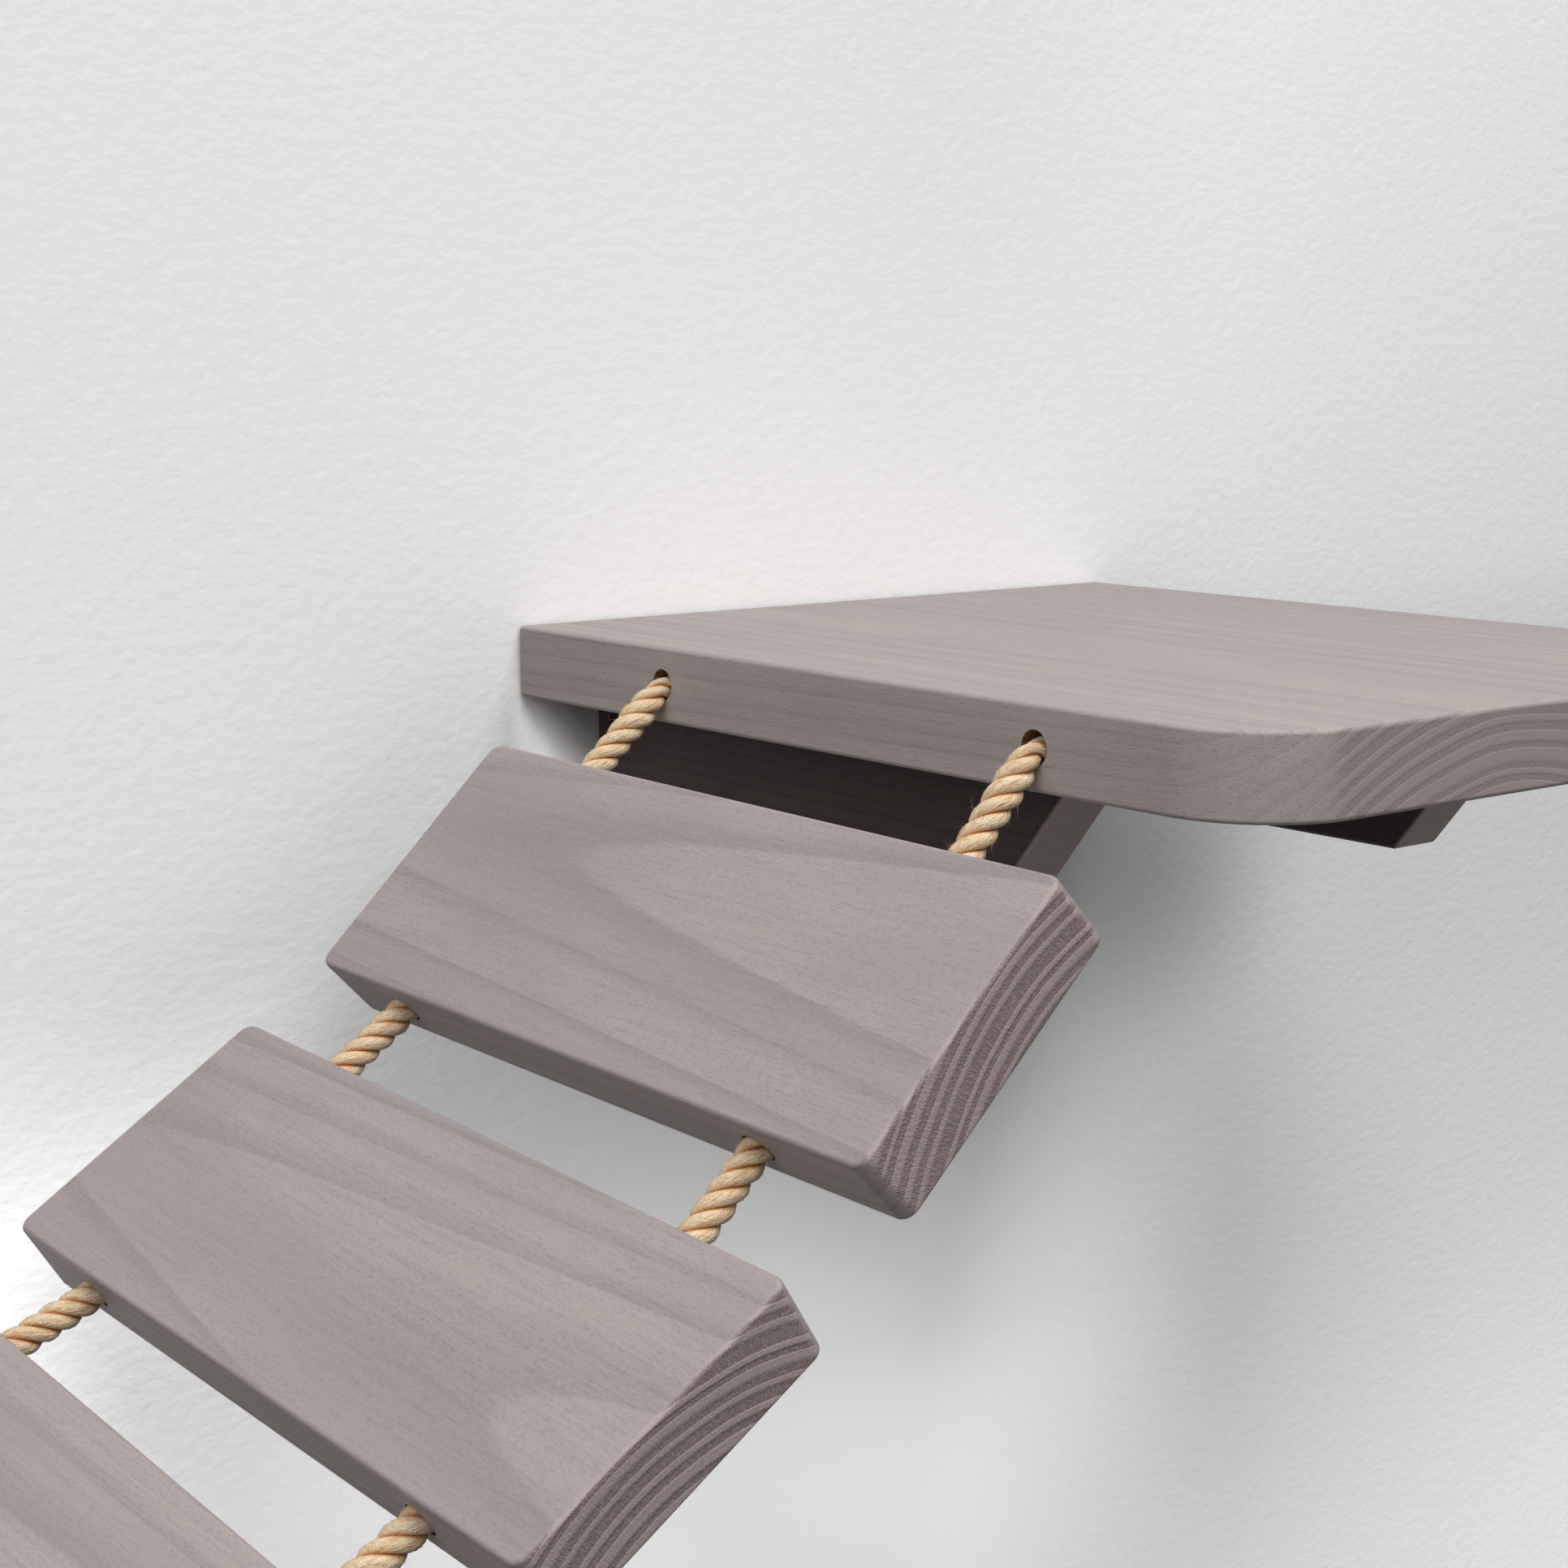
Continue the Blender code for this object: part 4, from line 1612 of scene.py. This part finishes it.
@dataclass
class Shelf:
    """A board on two brackets and a wall rail, with its screws and dowels.

    dowel is a dowel's diameter and length, and how far it stands in the board.
    """

    side: Side
    end_x: float
    hanging: Hanging
    finishes: Finishes
    width: float = 0.250
    depth: float = 0.305
    thickness: float = 0.022
    corner: float = 0.030
    eased: float = 0.0013
    mouth_eased: float = 0.0003
    bore: float = 0.0045
    bore_depth: float = 0.075
    pin_in: float = 0.060
    bracket_thickness: float = 0.020
    bracket_inset: float = 0.029
    bracket_reach: float = 0.217
    bracket_height: float = 0.045
    bracket_angle: float = math.radians(51)
    bracket_corner: float = math.radians(30)
    rail_height: float = 0.040
    rail_thickness: float = 0.020
    wall_screw_spacing: float = 0.100
    bracket_screw_spacing: float = 0.020
    dowel: tuple[float, float, float] = (0.008, 0.030, 0.011)
    dowel_ys: tuple[float, float] = (-0.050, -0.135)
    wall_screw: Screw = Screw(0.005, 0.0095, 0.070, 0.0024)
    bracket_screw: Screw = Screw(0.004, 0.008, 0.050, 0.0019)
    pin: Screw = Screw(0.003, 0.006, 0.018, 0.0014, 0.003)

    @property
    def name(self) -> str:
        """The shelf's name in the CAD nodes."""
        return self.side.value[0]

    @property
    def inward(self) -> int:
        """The way from the bored end face into the board."""
        return self.side.value[1]

    @property
    def centre_x(self) -> float:
        """The middle of the board along the wall."""
        return self.end_x + self.inward * self.width / 2

    @property
    def under(self) -> float:
        """The height of the board's underside."""
        return self.hanging.board_middle - self.thickness / 2

    def brackets(self) -> list[tuple[str, int, float]]:
        """Finds the two brackets.

        Returns:
            Each one's name, the way its screw heads face, and its middle along the wall.
        """
        reach = self.width / 2 - self.bracket_inset - self.bracket_thickness / 2
        ways = (("inner", -self.inward), ("outer", self.inward))
        return [(which, way, self.centre_x + way * reach) for which, way in ways]

    def dowel_holes(self, away: Matrix) -> list[bpy.types.Object]:
        """Cutters for the dowels of both brackets.

        Args:
            away: From the shelf's place to the timber's own centre.

        Returns:
            The cutters.
        """
        radius, half = self.dowel[0] / 2 + SEAT_GAP, self.dowel[1] / 2 + SEAT_GAP
        height = self.under + self.dowel[2] - self.dowel[1] / 2
        places = [Vector((x, y, height)) for _, _, x in self.brackets() for y in self.dowel_ys]
        holes = [rod(place - Vector((0, 0, half)), place + Vector((0, 0, half)), radius, 24) for place in places]
        for hole in holes:
            hole.data.transform(away)
        return holes

    def pins(self) -> Places:
        """Finds the screws that pin the rope ends from below.

        Returns:
            A node name and a place for each.
        """
        x, turn = self.end_x + self.inward * self.pin_in, Matrix.Rotation(math.pi, 4, "X")
        return [
            (
                f"rope_pin_{self.name}_{rope.value[0]}",
                Matrix.Translation((x, self.hanging.rope_y(rope), self.under)) @ turn,
            )
            for rope in Rope
        ]

    def wall_screws(self) -> Places:
        """Finds the screws through the rail.

        Returns:
            A node name and a place for each.
        """
        turn = Matrix.Rotation(math.pi / 2, 4, "X")
        places = [(self.centre_x + share * self.wall_screw_spacing, -self.rail_thickness, 0) for share in (-0.5, 0.5)]
        return [
            (f"wall_screw_{self.name}_{number}", Matrix.Translation(place) @ turn)
            for number, place in enumerate(places, 1)
        ]

    def bracket_screws(self, which: str, way: int, x: float) -> Places:
        """Finds the screws of one bracket.

        Args:
            which: inner or outer.
            way: The way their heads face.
            x: The bracket's middle along the wall.

        Returns:
            A node name and a place for each.
        """
        turn = Matrix.Rotation(way * math.pi / 2, 4, "Y")
        out, back = x + way * self.bracket_thickness / 2, -self.rail_thickness / 2
        return [
            (
                f"bracket_screw_{self.name}_{which}_{level}",
                Matrix.Translation((out, back, share * self.bracket_screw_spacing)) @ turn,
            )
            for level, share in (("lower", -0.5), ("upper", 0.5))
        ]

    def build(self) -> None:
        """Builds and dresses the whole shelf."""
        self.build_board()
        self.build_rail()
        for bracket in self.brackets():
            self.build_bracket(*bracket)
            # The bracket screws are darkened as painted shade.
            self.place_screws(self.bracket_screw, self.bracket_screws(*bracket), self.finishes.zinc_in_painted_shade)
            for row in ("back", "front"):
                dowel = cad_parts[f"dowel_{self.name}_{bracket[0]}_{row}"]
                painted(dowel, self.finishes.peg)
                log.info("%s: CAD node with its finish", dowel.name)
        self.place_screws(self.wall_screw, self.wall_screws(), self.finishes.zinc)
        self.place_screws(self.pin, self.pins(), self.finishes.zinc)

    def cut_screws(self, item: bpy.types.Object, screw: Screw, places: Places, away: Matrix) -> None:
        """Cuts the countersunk holes of some screws.

        Args:
            item: The timber.
            screw: The kind of screw.
            places: Where they go.
            away: From the shelf's place to the timber's own centre.
        """
        for _, place in places:
            hole = screw.cutter()
            hole.data.transform(away @ place)
            cut(item, hole)

    def place_screws(self, screw: Screw, places: Places, finish: bpy.types.Material) -> None:
        """Places one screw for each CAD node.

        Args:
            screw: The kind of screw.
            places: The node names and where they go.
            finish: Its plating.
        """
        pattern = screw.build("screw", finish)
        for node, place in places:
            item = copied(pattern, f"{node}_detail")
            item.data.transform(place)
            hand_over(item, node, (SHELVES,))
        bpy.data.objects.remove(pattern)

    def settle(self, item: bpy.types.Object, centre: Vector, node: str) -> None:
        """Shades a finished timber and moves it from its own centre to its place.

        Args:
            item: The timber.
            centre: Its place.
            node: The CAD node it stands for.
        """
        even_shading(item)
        item.data.transform(Matrix.Translation(centre))
        hand_over(item, node, (SHELVES,))

    def build_board(self) -> None:
        """The board, with its two bores for the ropes."""
        size = Vector((self.width, self.depth, self.thickness))
        item = block(f"shelf_{self.name}_timber", size)
        round_edges(item, lambda edge: edge.verts[0].co.y < 0 and is_upright(edge), self.corner, 24)
        round_edges(item, is_sharp, self.eased, 4)
        centre = Vector((self.centre_x, -self.depth / 2, self.hanging.board_middle))
        away, inward = Matrix.Translation(-centre), Vector((self.inward, 0, 0))
        mouths = [Vector((self.end_x, self.hanging.rope_y(rope), self.hanging.board_middle)) - centre for rope in Rope]
        bores = [(mouth - inward * OVERRUN, mouth + inward * self.bore_depth) for mouth in mouths]
        for start, end in bores:
            cut(item, rod(start, end, self.bore))
        round_edges(item, at_end(self.width / 2 - SEAT_GAP), self.mouth_eased, 2)
        for hole in self.dowel_holes(away):
            cut(item, hole)
        self.cut_screws(item, self.pin, self.pins(), away)
        mark_grain(item, size, BOARD_PITHS[self.side], self.eased)
        bore_finish(item, bores, self.bore, self.finishes.board, self.finishes.raw)
        self.settle(item, centre, f"shelf_board_{self.name}")

    def build_rail(self) -> None:
        """The rail that the brackets are screwed to."""
        length = self.width - 2 * (self.bracket_inset + self.bracket_thickness + SEAT_GAP)
        size = Vector((length, self.rail_thickness, self.rail_height))
        item = block(f"rail_{self.name}_timber", size)
        round_edges(item, is_sharp, self.eased, 4)
        centre = Vector((self.centre_x, -self.rail_thickness / 2, 0))
        away = Matrix.Translation(-centre)
        self.cut_screws(item, self.wall_screw, self.wall_screws(), away)
        for bracket in self.brackets():
            self.cut_screws(item, self.bracket_screw, self.bracket_screws(*bracket), away)
        mark_grain(item, size, RAIL_PITH, self.eased, Grain.WIDTH)
        # The rail's finish carries painted shade.
        painted(item, self.finishes.support_in_painted_shade)
        self.settle(item, centre, f"wall_rail_{self.name}")

    def build_bracket(self, which: str, way: int, x: float) -> None:
        """One bracket, with its outer end cut back at a slant.

        Args:
            which: inner or outer.
            way: The way its screw heads face.
            x: Its middle along the wall.
        """
        size = Vector((self.bracket_thickness, self.bracket_reach, self.bracket_height))
        item = block(f"bracket_{self.name}_{which}_timber", size)
        foot = lambda edge: all(vert.co.y < 0 and vert.co.z < 0 for vert in edge.verts)
        back = (0, self.bracket_height / math.tan(self.bracket_angle), 0)
        work_edges(item, foot, lambda: bpy.ops.transform.translate(value=back))
        round_edges(item, lambda edge: edge.calc_face_angle() > self.bracket_corner, self.eased, 4)
        centre = Vector((x, -self.bracket_reach / 2, self.under - SEAT_GAP - self.bracket_height / 2))
        away = Matrix.Translation(-centre)
        for hole in self.dowel_holes(away):
            if abs(points_of(hole)[:, 0]).max() < self.bracket_thickness:
                cut(item, hole)
            else:
                bpy.data.objects.remove(hole)
        self.cut_screws(item, self.bracket_screw, self.bracket_screws(which, way, x), away)
        facing = Vector((0, -math.sin(self.bracket_angle), -math.cos(self.bracket_angle)))
        slant = (Vector((0, -self.bracket_reach / 2, self.bracket_height / 2)), facing)
        mark_grain(item, size, replace(BRACKET_PITH, seed=x * 3 + 11), self.eased, slant=slant)
        # The bracket's finish carries painted shade on its faces and painted light on its slanted end.
        painted(item, self.finishes.support_in_painted_shade)
        self.settle(item, centre, f"bracket_{self.name}_{which}")


# ---------------------------------------------------------------- studio


@dataclass(frozen=True)
class Lamp:
    """A square lamp that gives soft light."""

    name: str
    place: tuple[float, float, float]
    size: float
    power: float

    def build(self, aim: Vector) -> None:
        """Hangs the lamp.

        Args:
            aim: The point it faces.
        """
        light = bpy.data.lights.new(self.name, "AREA")
        light.size, light.energy = self.size, self.power
        item = placed(self.name, light)
        item.location = self.place
        item.rotation_mode = "QUATERNION"
        item.rotation_quaternion = (aim - Vector(self.place)).to_track_quat("-Z", "Y")


@dataclass
class Studio:
    """A pale wall and floor, soft light from above, and the camera.

    The wall is open where a shelf covers it, less an edge and no wider behind a bracket than its cover.
    """

    floor_x: float = -0.476
    floor_z: float = -0.85
    wall_y: float = 0.0006
    reach: float = 4.0
    open_edge: float = 0.003
    bracket_cover: float = 0.014
    lens: float = 61.09
    sensor: float = 36.0
    nearest: float = 0.01
    camera_place: tuple[float, float, float] = (-0.5683, -0.6961, 0.1279)
    yaw: float = 51.79
    pitch: float = 9.36
    world_level: float = 0.21
    backdrop_level: float = 0.8
    aim: tuple[float, float, float] = (-0.4, -0.15, 0.0)
    lamps: tuple[Lamp, ...] = (
        Lamp("ceiling", (-0.45, -1.25, 2.2), 2.4, 61.5),
        Lamp("window", (-2.20, -0.80, 1.20), 1.4, 11.0),
    )

    def build(self, shelves: Sequence[Shelf]) -> None:
        """Builds the whole studio.

        Args:
            shelves: The shelves that the wall carries.
        """
        middle = sum(shelf.centre_x for shelf in shelves) / len(shelves)
        # The wall's material paints light and shadow round the shelves and below the planks.
        self.build_wall(shelves, middle, Backdrop("wall_paint_with_painted_light_and_shadow", tone(135, 135, 135), 1.14, middle).make())
        self.build_floor(Backdrop("floor_paint", tone(84, 84, 84), 0.88).make())
        self.build_world()
        for lamp in self.lamps:
            lamp.build(Vector(self.aim))
        self.build_camera()

    def footprints(self, shelf: Shelf) -> list[tuple[float, float, float, float]]:
        """Finds what a shelf covers on the wall, a little inside its outline.

        Args:
            shelf: The shelf.

        Returns:
            Two x and two z for each area.
        """
        edge, cover, x = self.open_edge, self.bracket_cover, shelf.centre_x
        inner = shelf.width / 2 - shelf.bracket_inset - edge
        low = shelf.under - shelf.bracket_height + edge
        half = shelf.width / 2 - edge
        return [
            (x - half, x + half, shelf.under + edge, shelf.under + shelf.thickness - edge),
            (x - inner, x - inner + cover, low, shelf.under + edge),
            (x + inner - cover, x + inner, low, shelf.under + edge),
            (x - inner + cover, x + inner - cover, -shelf.rail_height / 2 + edge, shelf.under + edge),
        ]

    def build_wall(self, shelves: Sequence[Shelf], middle: float, paint: bpy.types.Material) -> None:
        """The wall, open where the shelves cover it so that their backs are lit.

        Args:
            shelves: The shelves.
            middle: The middle of the bridge along the wall.
            paint: The wall's material, with painted light and shadow.
        """
        areas = [area for shelf in shelves for area in self.footprints(shelf)]
        xs = sorted({middle - self.reach, middle + self.reach, *(x for area in areas for x in area[:2])})
        zs = sorted({self.floor_z, self.floor_z + self.reach, *(z for area in areas for z in area[2:])})
        faces = []
        for row in range(len(zs) - 1):
            for column in range(len(xs) - 1):
                x, z = (xs[column] + xs[column + 1]) / 2, (zs[row] + zs[row + 1]) / 2
                if not any(low < x < high and foot < z < head for low, high, foot, head in areas):
                    base = row * len(xs) + column
                    faces.append((base, base + 1, base + len(xs) + 1, base + len(xs)))
        wall = from_points("wall", [(x, self.wall_y, z) for z in zs for x in xs], faces=faces)
        painted(wall, paint)

    def build_floor(self, paint: bpy.types.Material) -> None:
        """The floor.

        Args:
            paint: Its material.
        """
        place = (self.floor_x, self.wall_y - self.reach, self.floor_z)
        bpy.ops.mesh.primitive_plane_add(size=2 * self.reach, location=place)
        floor = applied(bpy.context.object, "floor")
        painted(floor, paint)

    def build_world(self) -> None:
        """An even world, paler where it is seen than where it lights."""
        world = bpy.data.worlds.new("room")
        bpy.context.scene.world = world
        recipe = Recipe(world)
        sky = recipe.nodes["Background"].inputs
        recipe.feed(sky["Color"], (1, 1, 1))
        more = self.backdrop_level - self.world_level
        recipe.feed(sky["Strength"], recipe.maths("MULTIPLY_ADD", recipe.seen(), more, self.world_level))

    def build_camera(self) -> None:
        """The camera at the photograph's angle."""
        data = bpy.data.cameras.new("camera")
        data.lens, data.sensor_width, data.clip_start = self.lens, self.sensor, self.nearest
        camera = placed("camera", data)
        camera.location = self.camera_place
        camera.rotation_euler = (math.radians(90 - self.pitch), 0, math.radians(self.yaw - 90))
        bpy.context.scene.camera = camera


def main() -> None:
    """Builds the bridge, the studio and the camera."""
    logging.basicConfig(level=logging.INFO, format="%(name)s: %(message)s")
    bpy.context.scene.view_settings.view_transform = "Standard"
    finishes = Finishes()
    hanging = Hanging()
    hung, left_end_x = hanging.hang()
    ends = ((Side.RIGHT, hanging.right_end_x), (Side.LEFT, left_end_x))
    shelves = [Shelf(side, end_x, hanging, finishes) for side, end_x in ends]
    for shelf in shelves:
        shelf.build()
    Planks(hanging, finishes).build(hung)
    LaidRope(hanging, finishes).build(hung, left_end_x)
    Studio().build(shelves)


if __name__ == "__main__":
    main()
